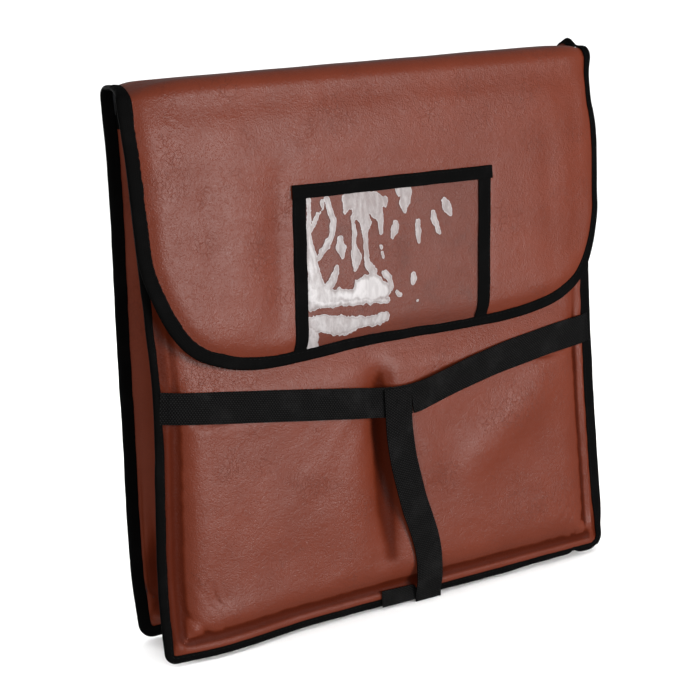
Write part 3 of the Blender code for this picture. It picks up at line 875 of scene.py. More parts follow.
# painted shade darkens the lip and groove along the left and bottom edges most
from_left = x - front_left(z)
front_painted_shade = 0.62 * np.exp(-(((from_left - 10.5) / 5.5) ** 2)) + 0.30 * smoothstep(32, 15, from_left)
front_painted_shade = front_painted_shade * smoothstep(10, 22, z)
along_low = 0.40 * np.exp(-(((z - 13.5) / 7.0) ** 2)) + 0.25 * np.exp(-(((z - 17.5) / 4.0) ** 2))
front_painted_shade = np.maximum(front_painted_shade, along_low * smoothstep(4, 16, from_left))
# painted shade also darkens the long fold beside the brace, more so toward the bottom
from_fold = x - (-10.5 + 3.0 * smoothstep(110, 50, z))
front_painted_shade = front_painted_shade + smoothstep(206, 176, z) * (0.35 + 0.7 * smoothstep(20, 130, z)) * np.where(
    from_fold < 0, np.exp(-((from_fold / 14.0) ** 2)), np.exp(-((from_fold / 12.0) ** 2))
)
front_cover = shell(
    "front_cover_skin", on_front(x, z, w), on_front(x, z, w - 0.8), LEATHER,
    np.stack([x + 300, z], -1), np.clip(np.maximum(painted_groove_shade(w, 1.1, 5), 0) + front_painted_shade, 0, 1.3),
)
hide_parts("front_panel_cover")
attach(front_cover, "front_panel")

lining_rise = table([(0, -0.15), (20, -0.2), (24, -2.2), (28, -4.0), (40, -4.3), (260, -4.3)], 1.2)


def lining_w(x, z, n, seed):
    soft = smoothstep(26, 60, n)
    return lining_rise(n) + soft * (0.45 * fbm(x / 60, z / 60, seed, 2))


x, z = front_grid(6.0, 4.0, 460.0)
n = soft_min([x - front_left(z), front_right(z) - x, z, FRONT_TOP - z], 2.6)
w = np.minimum(lining_w(x, z, n, 41), 0.2)
made = shell(
    "front_lining_skin", on_front(x, z, w), on_front(x, z, w - 0.5), LINER,
    np.stack([x + 300, z], -1),
)
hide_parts("front_panel_lining")
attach(made, "front_panel")

x, z = front_grid(8.0, 27.0, 434.0)
edge = np.minimum.reduce([x - front_left(z), front_right(z) - x, z, FRONT_TOP - z])
round_off = 1.8 * np.exp(-((edge - 27) / 2.5))
made = shell(
    "front_foam_pad",
    on_front(x, z, front_face(x, z) - 1.3 - round_off),
    on_front(x, z, -3.4 + round_off * 0.6 + 0 * x), FOAM, np.stack([x + 300, z], -1),
)
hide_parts("front_panel_insulation")
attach(made, "front_panel")


# The bunched tape at the lower right corner leaves a small nick beside a fuller lobe.
path = rounded_u(front_left, front_right, 449.6, 9.0, 15.0, 0.4, 2.6)
inward = inward_of(path, (0, 240))
px, pz = path.T
nick = 2.6 * np.exp(-(((px - 192) / 4.0) ** 2)) * (pz < 30) - 1.0 * np.exp(
    -(((px - 207) / 9) ** 2)
) * (pz < 30)
nick = nick + 1.2 * smoothstep(110, 150, px) * (pz < 4)
nick = nick + 0.9 * np.exp(-(((pz - 24) / 8) ** 2)) * (px > 0)
front_leg = 7.2 + 4.4 * smoothstep(12, 60, pz) * (px > 0)
front_leg = front_leg + (1.4 - 2.4 * smoothstep(150, 215, pz)) * smoothstep(8, 40, pz) * (px < 0)
front_tape = bound_edge(
    "front_binding_tape", on_front, path, inward, 1.25, 1.6, thick=0.75, leg=front_leg, seed=50,
    nose=nick,
)
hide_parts("front_panel_binding")
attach(front_tape, "front_panel")
made = edge_stitches(
    "front_binding_stitching", on_front, path, inward, (front_leg - 1.9)[:, None], 2.08
)
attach(made, "front_panel")

px = np.arange(-224.6, 224.7, 3.0)
path = np.stack([px, np.full(len(px), 462.8)], 1)
inward = np.tile([0.0, -1.0], (len(px), 1))
made = bound_edge("front_mouth_tape", on_front, path, inward, 2.0, 2.0, seed=60)
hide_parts("front_mouth_binding")
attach(made, "front_panel")


# ------------------------------------------------------------------ back panel and strip
def hump(x, y):
    """The bunched corner of tape that stands up at the right end of the top strip."""
    return 6.8 * np.exp(-(((y - 23) / 7.5) ** 2)) * smoothstep(209, 220, x)


def back_shape(x, s):
    y = STRIP_MID + np.asarray(s, float)
    up_here = s < S_BACK + ARC + 8
    return np.where(up_here, hump(x, y), 0.0)


def back_n(x, zp, top_edge=None):
    side = back_side(zp)
    return soft_min([x + side, side - x, zp + 0 * x], 2.6)


back_rise = table(
    [(0, 1.0), (8, 1.5), (10.5, 1.9), (14, 3.5), (17, 3.0), (20, 1.4), (24, 3.4), (32, 5.6),
     (60, 6.8), (260, 7.6)],
    0.9,
)


def back_w(x, zp):
    n = back_n(x, zp)
    n = n + 1.2 * fbm(x / 34, zp / 34, 7, 2) * np.exp(-(((n - 18) / 10) ** 2))
    lean = smoothstep(462, 425, zp)
    on_strip = smoothstep(S_BACK + ARC + 26, S_BACK + 2, back_s(zp))
    w = flap_rise(n) * (1 - 0.45 * on_strip) * (1 - lean) + back_rise(n) * lean
    field = smoothstep(20, 46, n) * lean
    w = w + field * (1.6 * fbm(x / 100, zp / 95, 13, 2) + 0.16 * fbm(x / 16, zp / 16, 33, 3))
    w = w + field * streak(x, zp, -120, 380, -40, 90, 22, -1.4)
    w = w + field * streak(x, zp, 130, 120, 52, 80, 24, -1.3)
    calm = smoothstep(2, 16, CREASE_Z + S_BACK + ARC - zp)
    return w + calm * 0.4 * smoothstep(14, 40, n) * noise2(x / 46, zp / 30, 15)


Z_SPLIT = CREASE_Z + S_BACK + ARC
nu, nv = 92, 106
v = np.concatenate([np.linspace(0, 0.075, 14)[:-1], np.linspace(0.075, 1, nv - 13)])
zp = (Z_SPLIT - (Z_SPLIT - 6) * v)[None, :] + np.zeros((nu, 1))
side = back_side(zp) - 6
x = side * np.linspace(-1, 1, nu)[:, None]
s = back_s(zp)
w = back_w(x, zp) + back_shape(x, s)
made = shell(
    "back_cover_skin", on_back(x, s, w), on_back(x, s, w - 0.8), LEATHER,
    np.stack([x + 1300, zp], -1), painted_groove_shade(w, 1.1, 5),
)
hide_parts("back_panel_cover", "flap_top_cover")
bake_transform(made)
nu2, nv2 = 76, 84
v = np.concatenate([np.linspace(0, 0.075, 14)[:-1], np.linspace(0.075, 1, nv2 - 13)])
LAP = 3.0
zp = (Z_SPLIT + LAP - (Z_SPLIT + LAP - 4) * v)[None, :] + np.zeros((nu2, 1))
side = back_side(zp) - 4
x = side * np.linspace(-1, 1, nu2)[:, None]
s = back_s(zp)
n = back_n(x, zp)
lean = smoothstep(462, 425, zp)
strip_lining = table([(0, -0.3), (11, -0.35), (17, -2.0), (260, -2.15)], 1.0)
w = np.minimum(lining_w(x, zp, n, 43), 0.1) * lean + strip_lining(n) * (1 - lean)
w = w + back_shape(x, s) - 0.62 * smoothstep(Z_SPLIT - 3.0, Z_SPLIT - 0.3, zp)
made = shell(
    "back_lining_skin", on_back(x, s, w), on_back(x, s, w - 0.5), LINER,
    np.stack([x + 1300, zp], -1),
)
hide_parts("back_panel_lining", "flap_top_lining")
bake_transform(made)

zp = np.linspace(27, 440, 54)[None, :] + np.zeros((50, 1))
side = back_side(zp) - 27
x = side * np.linspace(-1, 1, 50)[:, None]
s = back_s(zp)
edge = np.minimum.reduce([side + 27 - np.abs(x), zp, 467 - zp])
round_off = 1.8 * np.exp(-((edge - 27) / 2.5))
made = shell(
    "back_foam_pad", on_back(x, s, back_w(x, zp) - 1.3 - round_off),
    on_back(x, s, -3.4 + round_off * 0.6 + 0 * x), FOAM, np.stack([x + 1300, zp], -1),
)
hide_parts("back_panel_insulation")
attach(made, "shell")

path = rounded_u(lambda q: -back_side(q), back_side, Z_SPLIT, 14.0, 20.0, 0.6, 2.8)
zp = path[:, 1]
s_path = np.stack([path[:, 0], back_s(zp)], 1)
inward = inward_of(s_path, (0, back_s(240)))
lean = smoothstep(468, 436, zp)
made = bound_edge(
    "back_binding_tape", on_back, s_path, inward, 1.25 + 0.5 * lean, 0.9 + 0.9 * lean,
    thick=0.75, leg=9.6 + 0.8 * lean, seed=70, shape=back_shape,
)
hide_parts("back_panel_binding")
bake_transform(made)
made = edge_stitches(
    "back_binding_stitching", on_back, s_path, inward, 7.8, 1.25 + 0.5 * lean + 0.88, back_shape
)
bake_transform(made)


# ------------------------------------------------------------------ flap
TOP_HALF = float(back_side(Z_SPLIT))
FLAP_LEFT = [
    (-TOP_HALF, Z_SPLIT), (-224.6, 482), (-226.2, 472), (-227.6, 458), (-227, 430), (-225.2, 400),
    (-224.2, 369), (-223.6, 346), (-220.8, 326), (-216.2, 309), (-208.4, 288), (-196.6, 267.6),
    (-179.6, 252.2), (-159.4, 243.2), (-141, 238.4), (-119.5, 235.6), (-94.6, 235.8), (-62, 237.6),
    (-31, 239.6), (14, 240), (59, 239.6), (103, 239.8), (132.5, 241.4), (168, 247.8), (189, 257.0),
    (204, 270), (214.6, 290), (222, 318), (225.2, 346), (226.2, 374), (225.2, 400), (222.8, 416),
    (220.8, 426), (220.2, 448), (220.8, 464), (222.4, 478), (TOP_HALF, Z_SPLIT),
]
flap_outline = smooth_path(FLAP_LEFT, 2.8)
flap_outline = np.stack([flap_outline[:, 0], flap_s(flap_outline[:, 1])], 1)
flap_outline[0] = (-TOP_HALF, 0.0)
flap_outline[-1] = (TOP_HALF, 0.0)
flap_inward = inward_of(flap_outline, (0, 120))
flap_inward[0] = (1, 0)
flap_inward[-1] = (-1, 0)


def nearest(x, s, line):
    """Distance from each point to a polyline."""
    p = np.stack([np.ravel(x), np.ravel(s)], 1)
    a, b = line[:-1], line[1:]
    d = b - a
    length = (d * d).sum(1)
    out = np.empty(len(p))
    for k in range(0, len(p), 4000):
        q = p[k : k + 4000, None, :] - a[None]
        t = np.clip((q * d).sum(2) / length, 0, 1)
        gap = q - t[..., None] * d
        out[k : k + 4000] = np.sqrt((gap**2).sum(2).min(1))
    return out.reshape(np.shape(x))


def coons(line, inset, nu, nv, dense=0.2, dense_rows=0.36):
    """A grid over the area inside an outline that is open at its top edge, s = 0."""
    p = line + inward_of(line, (0, 120)) * inset
    p[0] = (line[0, 0] + inset, 0.0)
    p[-1] = (line[-1, 0] - inset, 0.0)
    keep = np.concatenate([[True], p[1:-1, 1] > 0.4, [True]])
    p = p[keep]
    turn = np.unwrap(np.arctan2(*np.gradient(p, axis=0).T[::-1]))
    first = int(np.argmin(np.abs(turn - (turn[2] + (turn[len(p) // 2] - turn[2]) * 0.5))[: len(p) // 2]))
    half = len(p) // 2
    last = half + int(
        np.argmin(np.abs(turn - (turn[-3] + (turn[half] - turn[-3]) * 0.5))[half:])
    )
    v = np.concatenate(
        [
            np.linspace(0, dense, int(nv * dense_rows))[:-1],
            np.linspace(dense, 1, nv - int(nv * dense_rows) + 1),
        ]
    )

    def along(q, at):
        l = arc_lengths(q)
        return np.stack([np.interp(at * l[-1], l, q[:, k]) for k in range(2)], 1)

    u = np.linspace(0, 1, nu)
    left, right_ = along(p[: first + 1], v), along(p[last:][::-1], v)
    low = along(p[first : last + 1], u)
    high = np.stack([p[0, 0] + (p[-1, 0] - p[0, 0]) * u, np.zeros(nu)], 1)
    uu, vv = u[:, None, None], v[None, :, None]
    grid = (1 - vv) * high[:, None] + vv * low[:, None] + (1 - uu) * left[None] + uu * right_[None]
    grid = grid - (
        (1 - uu) * (1 - vv) * p[0] + uu * (1 - vv) * p[-1]
        + (1 - uu) * vv * p[first] + uu * vv * p[last]
    )
    return grid[..., 0], grid[..., 1]


def flap_base(x, s):
    """How far the whole flap stands off its flat place."""
    x, s = np.asarray(x, float), np.asarray(s, float)
    zp = Z_SPLIT - s
    out = 4.8 * np.exp(-(((x + 212) / 50) ** 2)) * smoothstep(345, 262, zp)
    out = out + 1.4 * np.exp(-(((x - 165) / 55) ** 2)) * smoothstep(330, 262, zp)
    out = out - 2.4 * smoothstep(204, 224, x) * smoothstep(318, 352, zp) * smoothstep(470, 440, zp)
    out = out - 1.1 * np.exp(-(((zp - 452) / 12) ** 2)) * smoothstep(0, 6, s)
    out = out + 0.7 * np.exp(-(((zp - 420) / 22) ** 2)) * smoothstep(0, 6, s)
    # the front corner of the fold hangs a little on the left
    out = out - 5.0 * smoothstep(-168, -222, x) * np.exp(-(((s - 19) / 12) ** 2))
    rear = smoothstep(13, 7, s)
    y = STRIP_MID - s
    out = out + rear * hump(x, y)
    ripple = smoothstep(30, 60, s)
    out = out + ripple * 0.55 * noise2(x / 70, s / 60, 24)
    return out


POCKET = {"tl": (-88.0, 383.4), "tr": (104.8, 380.2), "br": (96.8, 243.0), "bl": (-94.4, 243.0)}
GLASS = {"tl": (-76.4, 371.6), "tr": (91.0, 368.6), "br": (83.6, 243.0), "bl": (-83.0, 243.0)}
hem_z = table(
    [(-119.5, 235.6), (-94.6, 235.8), (-62, 237.6), (-31, 239.6), (14, 240), (59, 239.6), (103, 239.8),
     (132.5, 241.4)],
    4,
)


def pocket_frame(x, zp):
    """Signed distance inside (+) or outside (-) the pocket's outline."""
    left = POCKET["bl"][0] + (POCKET["tl"][0] - POCKET["bl"][0]) * (zp - 243) / 139.4
    right_ = POCKET["br"][0] + (POCKET["tr"][0] - POCKET["br"][0]) * (zp - 243) / 136.2
    top = POCKET["tl"][1] + (POCKET["tr"][1] - POCKET["tl"][1]) * (x + 88) / 193
    return np.minimum.reduce([x - left, right_ - x, top - zp])


def flap_w(x, s, n):
    """The flap's outer face over its middle."""
    zp = Z_SPLIT - s
    n = n + 0.8 * fbm(x / 30, s / 30, 8, 2) * np.exp(-(((n - 15) / 6) ** 2)) * smoothstep(4, 14, s)
    turned = smoothstep(140, 186, x) * smoothstep(262, 306, zp) * smoothstep(468, 436, zp)
    w = flap_rise(n) * (1 - turned) + flap_rise_right(n) * turned
    w = w * (1 - 0.45 * smoothstep(S_FRONT + ARC + 26, S_FRONT + 2, s))
    calm = smoothstep(2, 16, s)
    field = smoothstep(14, 40, n)
    face = smoothstep(34, 60, s)
    w = w + calm * 0.4 * field * noise2(x / 46, s / 30, 15)
    # pressed flat under the pocket and its stitching
    frame_in = pocket_frame(x, zp)
    w = w - face * 0.75 * np.exp(-(((frame_in - 3) / 6.0) ** 2))
    w = w - face * 0.35 * smoothstep(2, 12, frame_in)
    # a soft upright dent to the left of the pocket and a faint one further left
    w = w + field * face * streak(x, zp, -104, 328, 86, 72, 11, -2.1)
    w = w + field * face * streak(x, zp, -138, 322, 86, 84, 18, 1.4)
    w = w + field * face * streak(x, zp, -166, 352, 91, 60, 3.2, -0.35)
    w = w + field * face * streak(x, zp, 166, 346, 91, 80, 9, -0.55)
    w = w + field * face * streak(x, zp, 186, 340, 90, 66, 8, 0.35)
    w = w + field * face * streak(x, zp, 20, 408, 1, 150, 11, 0.7)
    # fine creases near the fold on the left and under it
    w = w + face * smoothstep(12, 20, n) * packet(x, zp, -188, 440, 140, 20, 13, 6.2, 0.5)
    w = w + face * smoothstep(12, 20, n) * packet(x, zp, -168, 378, 150, 26, 14, 6.0, 0.34)
    w = w + face * smoothstep(12, 20, n) * packet(x, zp, -186, 404, 118, 20, 12, 5.2, 0.22)
    w = w + face * smoothstep(12, 20, n) * packet(x, zp, 150, 440, 12, 32, 12, 7.5, 0.16)
    w = w + field * calm * 0.13 * fbm(x / 15, s / 15, 35, 3)
    return w + smoothstep(9, 16, n) * np.exp(-(((n - 16) / 6) ** 2)) * 0.32 * noise2(
        x / 12, s / 12, 27
    ) * calm


x, s = coons(flap_outline, 6.0, 142, 104)
n = nearest(x, s, flap_outline)
w = flap_w(x, s, n)
base = flap_base(x, s)
made = shell(
    "flap_cover_skin", on_flap(x, s, w + base), on_flap(x, s, w + base - 0.8), LEATHER,
    np.stack([x + 2300, -s + 800], -1), painted_groove_shade(w, 1.0, 5),
)
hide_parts("flap_cover")
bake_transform(made)

x, s = coons(flap_outline, 4.0, 80, 66)
n = nearest(x, s, flap_outline)
w = strip_lining(n) + flap_base(x, s)
made = shell(
    "flap_lining_skin", on_flap(x, s, w), on_flap(x, s, w - 0.5), LINER,
    np.stack([x + 2300, -s + 800], -1),
)
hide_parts("flap_lining")
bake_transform(made)

inner_line = flap_outline[flap_outline[:, 1] > S_FRONT + ARC + 4]
pad_line = inner_line.copy()
pad_line[0, 1] = pad_line[-1, 1] = S_FRONT + ARC + 4


def shifted_coons(line, inset, nu, nv, start):
    moved = line - [0, start]
    moved[0, 1] = moved[-1, 1] = 0.0
    gx, gs = coons(moved, inset, nu, nv, 0.3, 0.3)
    return gx, gs + start


x, s = shifted_coons(pad_line, 16.0, 52, 34, S_FRONT + ARC + 4)
n = nearest(x, s, flap_outline)
round_off = 0.8 * np.exp(-((n - 16) / 2.5))
base = flap_base(x, s)
made = shell(
    "flap_foam_pad", on_flap(x, s, flap_w(x, s, n) - 1.1 - round_off * 0.5 + base),
    on_flap(x, s, base - 1.6 + round_off * 0.5), FOAM, np.stack([x + 2300, -s + 800], -1),
)
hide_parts("flap_insulation")
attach(made, "flap")

u = np.linspace(-205, 205, 70)[:, None]
s = np.linspace(-11.5, 11.5, 9)[None, :]
x, s = np.broadcast_arrays(u, s)
near = np.minimum(205 - np.abs(x), 11.5 - np.abs(s))
round_off = 0.7 * np.exp(-near / 1.6)
shape = np.minimum(flap_base(x, s), hump(x, STRIP_MID - s))
made = shell(
    "strip_foam_pad", on_flap(x, s, 1.5 - round_off + shape), on_flap(x, s, -1.6 + round_off + shape),
    FOAM, np.stack([x + 3300, s + 900], -1),
)
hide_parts("flap_top_insulation")
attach(made, "flap_top")

fx, fz = flap_outline[:, 0], Z_SPLIT - flap_outline[:, 1]
low_leg = np.interp(
    fx, [-215, -180, -140, -95, -55, -10, 40, 80, 120, 185, 220],
    [13.0, 12.6, 11.2, 10.6, 10.2, 9.2, 8.4, 8.8, 9.8, 10.4, 9.0],
)
side_leg = np.where(fx < 0, 12.8, 7.0)
low_share = smoothstep(330, 275, fz)
flap_leg = low_leg * low_share + side_leg * (1 - low_share)
flap_leg = flap_leg + (9.6 - flap_leg) * smoothstep(452, 486, fz)
made = bound_edge(
    "flap_binding_tape", on_flap, flap_outline, flap_inward, 1.25, 0.9, thick=0.75, leg=flap_leg,
    seed=80, shape=flap_base,
)
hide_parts("flap_binding", "flap_top_binding_left", "flap_top_binding_right")
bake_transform(made)
made = edge_stitches(
    "flap_binding_stitching", on_flap, flap_outline, flap_inward, (flap_leg - 2.0)[:, None], 2.1,
    flap_base,
)
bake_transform(made)


# ------------------------------------------------------------------ ticket pocket
def flap_face_at(x, zp):
    """The flap's outer face height at points of its face, with its stand-off."""
    s = Z_SPLIT - np.asarray(zp, float)
    n = nearest(x, s, flap_outline)
    return flap_w(x, s, n) + flap_base(x, s)


def tape_strip(name, start, end, width, layer, seed, inner_sign, material=None, ends=(0.0, 0.0)):
    """A folded strip of tape laid on the flap: sewn down along its outer edge, its
    folded edge standing a little over the film. start and end lie on its middle."""
    start, end = np.array(start, float), np.array(end, float)
    length = np.linalg.norm(end - start)
    d = (end - start) / length
    across = np.array([-d[1], d[0]]) * inner_sign
    count = int(length / 2.6) + 1
    l = np.linspace(-ends[0], length + ends[1], count)
    mid = start + l[:, None] * d
    wob = 0.35 * fbm(l / 24, 0.4, seed, 2)
    wave = 0.30 * fbm(l / 17, 0.6, seed + 1, 2)
    half = width / 2
    # (across, height, share of the waviness): up over the top face, back under it
    ring = [
        (-half, 0.25, 0.0), (-half + 0.1, 0.75, 0.1), (-half + 0.6, 1.02, 0.2), (-half + 2.2, 0.98, 0.3),
        (0.0, 1.30, 0.8), (half - 2.4, 1.62, 1.0), (half - 0.9, 1.66, 1.0), (half - 0.15, 1.32, 1.0),
        (half - 0.15, 0.66, 1.0), (half - 0.9, 0.34, 1.0), (half - 2.4, 0.25, 0.8), (0.0, 0.15, 0.4),
        (-half + 2.2, 0.08, 0.1), (-half + 0.6, 0.04, 0.0), (-half + 0.1, 0.06, 0.0), (-half, 0.12, 0.0),
    ]
    sections, uvs, painted_light = [], [], []
    run = 0.0
    for k, (a, h, share) in enumerate(ring):
        if k:
            run += math.hypot(a - ring[k - 1][0], h - ring[k - 1][1])
        q = mid + across * (a + wob)[:, None]
        w = flap_face_at(q[:, 0], q[:, 1]) + h + layer + wave * share
        sections.append(on_flap(q[:, 0], Z_SPLIT - q[:, 1], w))
        uvs.append(np.stack([l, np.full(count, run)], 1))
        # painted shade on the strip's underside
        painted_light.append(np.full(count, 0.35 if h < 0.5 else 0.0))
    made = swept(name, np.stack(sections, 1), TAPE, np.stack(uvs, 1), np.stack(painted_light, 1).ravel())
    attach(made, "flap")
    q = mid + across * (-half + 2.1)
    w = flap_face_at(q[:, 0], q[:, 1]) + 1.0 + layer
    low = on_flap(q[:, 0], Z_SPLIT - q[:, 1], w)
    high = on_flap(q[:, 0], Z_SPLIT - q[:, 1], w + 1)
    sewn = stitches(name + "_stitching", low, high - low)
    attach(sewn, "flap")
    return made


def between(a, b, share):
    a, b = np.array(a), np.array(b)
    return a + (b - a) * share


left_mid = (between(POCKET["bl"], GLASS["bl"], 0.5), between(POCKET["tl"], GLASS["tl"], 0.5))
right_mid = (between(POCKET["br"], GLASS["br"], 0.5), between(POCKET["tr"], GLASS["tr"], 0.5))
right_mid = (between(right_mid[0], right_mid[1], 0.03), right_mid[1])
made = tape_strip("pocket_tape_left", left_mid[0], left_mid[1], 11.6, 0.0, 101, -1)
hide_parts("pocket_binding_left")
made = tape_strip("pocket_tape_right", right_mid[0], right_mid[1], 13.0, 0.0, 104, 1)
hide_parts("pocket_binding_right")
top_a = between(POCKET["tl"], (-88.0, 371.9), 0.5)
top_b = between(POCKET["tr"], (104.8, 368.4), 0.5)
made = tape_strip("pocket_tape_top", top_a, top_b, 11.4, 0.95, 107, -1, ends=(0.6, 0.2))
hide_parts("pocket_binding_top")


def film_material():
    """Clear soft plastic, with the lamp's glare painted in as pale colour where it stands off the cover."""
    made, tree, shader = material("clear_film")
    n = Nodes(tree)
    uv = n.uv()
    standoff_and_glare = n.attribute("painted_light")
    ragged = n.noise(n.scaled(uv, (1.0, 0.6, 1.0), (11, 4, 0)), 0.42, 3.0, 0.62, 0.7)
    standoff_and_glare = n.math("MULTIPLY_ADD", n.math("SUBTRACT", ragged, 0.5), 0.22, standoff_and_glare)
    inside = n.ramp(standoff_and_glare, 0.47, 0.52, 0.0, 1.0)
    rim = n.math("MULTIPLY", n.ramp(standoff_and_glare, 0.46, 0.52, 0.0, 1.0), n.ramp(standoff_and_glare, 0.62, 0.53, 0.0, 1.0))
    flow = n.noise(n.scaled(uv, (1.0, 0.35, 1.0), (3, 9, 0), 0.2), 0.16, 4.0, 0.6, 0.8)
    cloud = n.ramp(flow, 0.32, 0.68, 0.40, 0.62)
    cover = n.math("MULTIPLY", inside, n.math("MULTIPLY", cloud, n.ramp(standoff_and_glare, 0.52, 0.72, 0.72, 1.0)))
    cover = n.math("MULTIPLY_ADD", rim, 0.26, cover)
    cover = n.math("MULTIPLY_ADD", n.ramp(standoff_and_glare, 0.66, 1.0, 0.0, 1.0), 0.34, cover)
    wiped = n.ramp(n.noise(n.scaled(uv, (1, 1, 1), (40, 7, 0)), 0.045, 3.0, 0.6), 0.5, 0.75, 0.07, 0.13)
    pale_share = n.math("DIVIDE", cover, n.math("ADD", cover, wiped))
    # painted reflection: pale colour where the streaks are, a faint dark tint elsewhere
    n.put(shader.inputs["Base Color"], n.mix(pale_share, (0.20, 0.14, 0.13), (0.86, 0.82, 0.82)))
    lumps = n.noise(uv, 0.07, 3.0, 0.5, 0.6)
    n.put(shader.inputs["Normal"], n.bump(lumps, 0.0010, 0.5))
    shader.inputs["Roughness"].default_value = 0.3
    shader.inputs["Specular IOR Level"].default_value = 0.25
    n.put(shader.inputs["Alpha"], n.math("ADD", cover, wiped, clamp=True))
    return made


FILM = film_material()
nu, nv = 156, 116
u = np.linspace(0, 1, nu)[:, None]
v = np.linspace(0, 1, nv)[None, :]
x0 = (GLASS["bl"][0] - 4.5) + (GLASS["tl"][0] - GLASS["bl"][0]) * v
x1 = (GLASS["br"][0] + 4.5) + (GLASS["tr"][0] - GLASS["br"][0]) * v
x = x0 + (x1 - x0) * u
low = hem_z(x) + 4.5
zp = low + (373.5 - 3.0 * u - low) * v
# Where the film has parted from the cover it stands off, and there the lamp's glare is painted in as pale colour:
# flowing streaks and drops, each a strength and a line of (x, z, half width).
streaks = [
    (0.8, [(-74.1, 370.6, 1.7), (-75.2, 356.6, 1.4), (-76.3, 337.6, 2.4), (-74.8, 320.9, 4.7),
           (-73.4, 306.8, 6), (-73.3, 292.9, 8.7), (-76.5, 282.8, 4.7)]),
    (0.7, [(-57.5, 370.3, 2.5), (-56.1, 359.8, 2.9), (-52.5, 349.7, 2.5), (-54.5, 339.8, 2.5),
           (-61.1, 330.7, 2.9), (-68.5, 322.8, 3)]),
    (0.7, [(-61.5, 366.4, 2.1), (-68.6, 354.4, 2.1), (-74.2, 345, 1.8)]),
    (0.55, [(-47, 335.2, 2.3), (-47.5, 327.8, 5), (-46.7, 321, 2)]),
    (0.8, [(-65.2, 291.7, 5.3), (-58.4, 299.7, 3.5), (-53.7, 307.4, 2.8), (-52.6, 314, 1.3)]),
    (0.35, [(-37.2, 366.4, 6.3), (-26.3, 363.4, 9.3), (-14.6, 361.5, 9.3), (-5, 361.5, 5)]),
    (0.35, [(-39.1, 360.5, 4.3), (-40.9, 357.4, 2.3)]),
    (0.45, [(-26.8, 356.3, 8), (-22.7, 346.1, 5.3), (-24, 337.9, 3), (-24.2, 324.7, 2.2),
            (-23.3, 311.1, 3), (-18.6, 303.7, 4.2)]),
    (0.4, [(-11.9, 354.5, 6), (-8.4, 344.3, 3), (-8.7, 336.2, 2)]),
    (0.6, [(-33.5, 351.6, 2.7), (-34.2, 346.1, 1.5), (-33.9, 337.2, 2.4), (-35.4, 329, 2.1),
           (-33.6, 318.1, 5), (-34.9, 309.3, 2.7)]),
    (1.3, [(-55.4, 288.9, 4.3), (-42.8, 287.9, 6.7), (-31.2, 290.2, 10), (-19.6, 289.7, 12),
           (-8.8, 285.8, 6.7)]),
    (0.8, [(-7.2, 301, 2.7), (-3, 295.3, 2.7), (-1.5, 288.2, 2.3)]),
    (1.3, [(-73.9, 284.1, 4), (-52.8, 282, 3.3), (-30.5, 280.7, 3.3), (-6.1, 277.4, 2.7)]),
    (0.7, [(-76.9, 268.4, 6.5), (-60.4, 264, 8), (-45.9, 262.9, 7.3), (-34.4, 262.8, 5.7)]),
    (0.7, [(-28.6, 261.9, 4), (-21.5, 262, 5), (-8.4, 262.9, 4.3)]),
    (0.9, [(-76, 291, 8), (-66, 290, 8), (-57, 287, 6)]),
    (0.12, [(-79, 262, 6), (-79, 252, 6), (-76, 246, 5)]),
    (0.2, [(-50, 256, 3), (-38, 257, 3)]),
    (0.4, [(12.6, 368.5, 4.7), (19.4, 367.1, 4.7), (16.2, 358.2, 5.7), (15.7, 351.2, 2.3)]),
    (0.35, [(54.5, 355.2, 2.7), (56.9, 350.4, 4.7), (59.2, 343.8, 3)]),
    (0.6, [(43.3, 346.8, 1.9), (44.1, 339.3, 3), (47, 331.5, 2.2), (49.1, 327.3, 1.5)]),
    (0.6, [(28.2, 340.1, 1.9), (27.7, 331.4, 2.5), (27.8, 323.1, 1.3)]),
    (0.6, [(6.9, 341.6, 2.3), (4.2, 334.6, 3.3), (1.9, 329.8, 1.5)]),
    (0.8, [(20.8, 296, 1.9), (21.2, 291.9, 2.8), (20.3, 288, 1.5)]),
    (1.0, [(3.5, 284.1, 1.8), (6.8, 279.8, 2.1)]),
    (0.8, [(23.4, 274, 1.4), (23.7, 273.6, 1.4)]),
    (0.7, [(-9.8, 324.8, 1.2), (-8.9, 322.7, 1.4)]),
    (0.7, [(-8.9, 318.2, 1.4), (-8.5, 314.8, 1.4)]),
]
holes = [(-66.5, 363.5, 3.0, 5.0), (-65.5, 340.5, 4.0, 8.5), (-63.5, 352.5, 2.4, 4.0), (-43.5, 300, 7.5, 9)]


def flowing(x, z):
    """How far inside the pale streaks each point lies, over 0 inside."""
    xw = x + 1.3 * fbm(x / 7, z / 11, 66, 3)
    zw = z + 2.6 * fbm(x / 6, z / 10, 67, 3)
    best = np.full(np.shape(x), -1.0)
    for strength, line in streaks:
        for (ax, az, ar), (bx, bz, br) in zip(line[:-1], line[1:]):
            dx, dz = bx - ax, bz - az
            along = np.clip(((xw - ax) * dx + (zw - az) * dz) / (dx * dx + dz * dz), 0, 1)
            gap = np.hypot(xw - ax - along * dx, zw - az - along * dz)
            best = np.maximum(best, np.minimum((ar + (br - ar) * along - gap) / 3.0, strength))
    return best


def soft_patches(x, z, spots, grow=0.0):
    xw = x + 2.4 * fbm(x / 9, z / 13, 66, 2)
    zw = z + 3.4 * fbm(x / 8, z / 12, 67, 2)
    best = np.full(np.shape(x), -1.0)
    for cx, cz, rx, rz in spots:
        r = np.sqrt(((xw - cx) / rx) ** 2 + ((zw - cz) / rz) ** 2)
        best = np.maximum(best, (1 - r) * min(rx, rz) / 6.0)
    return best


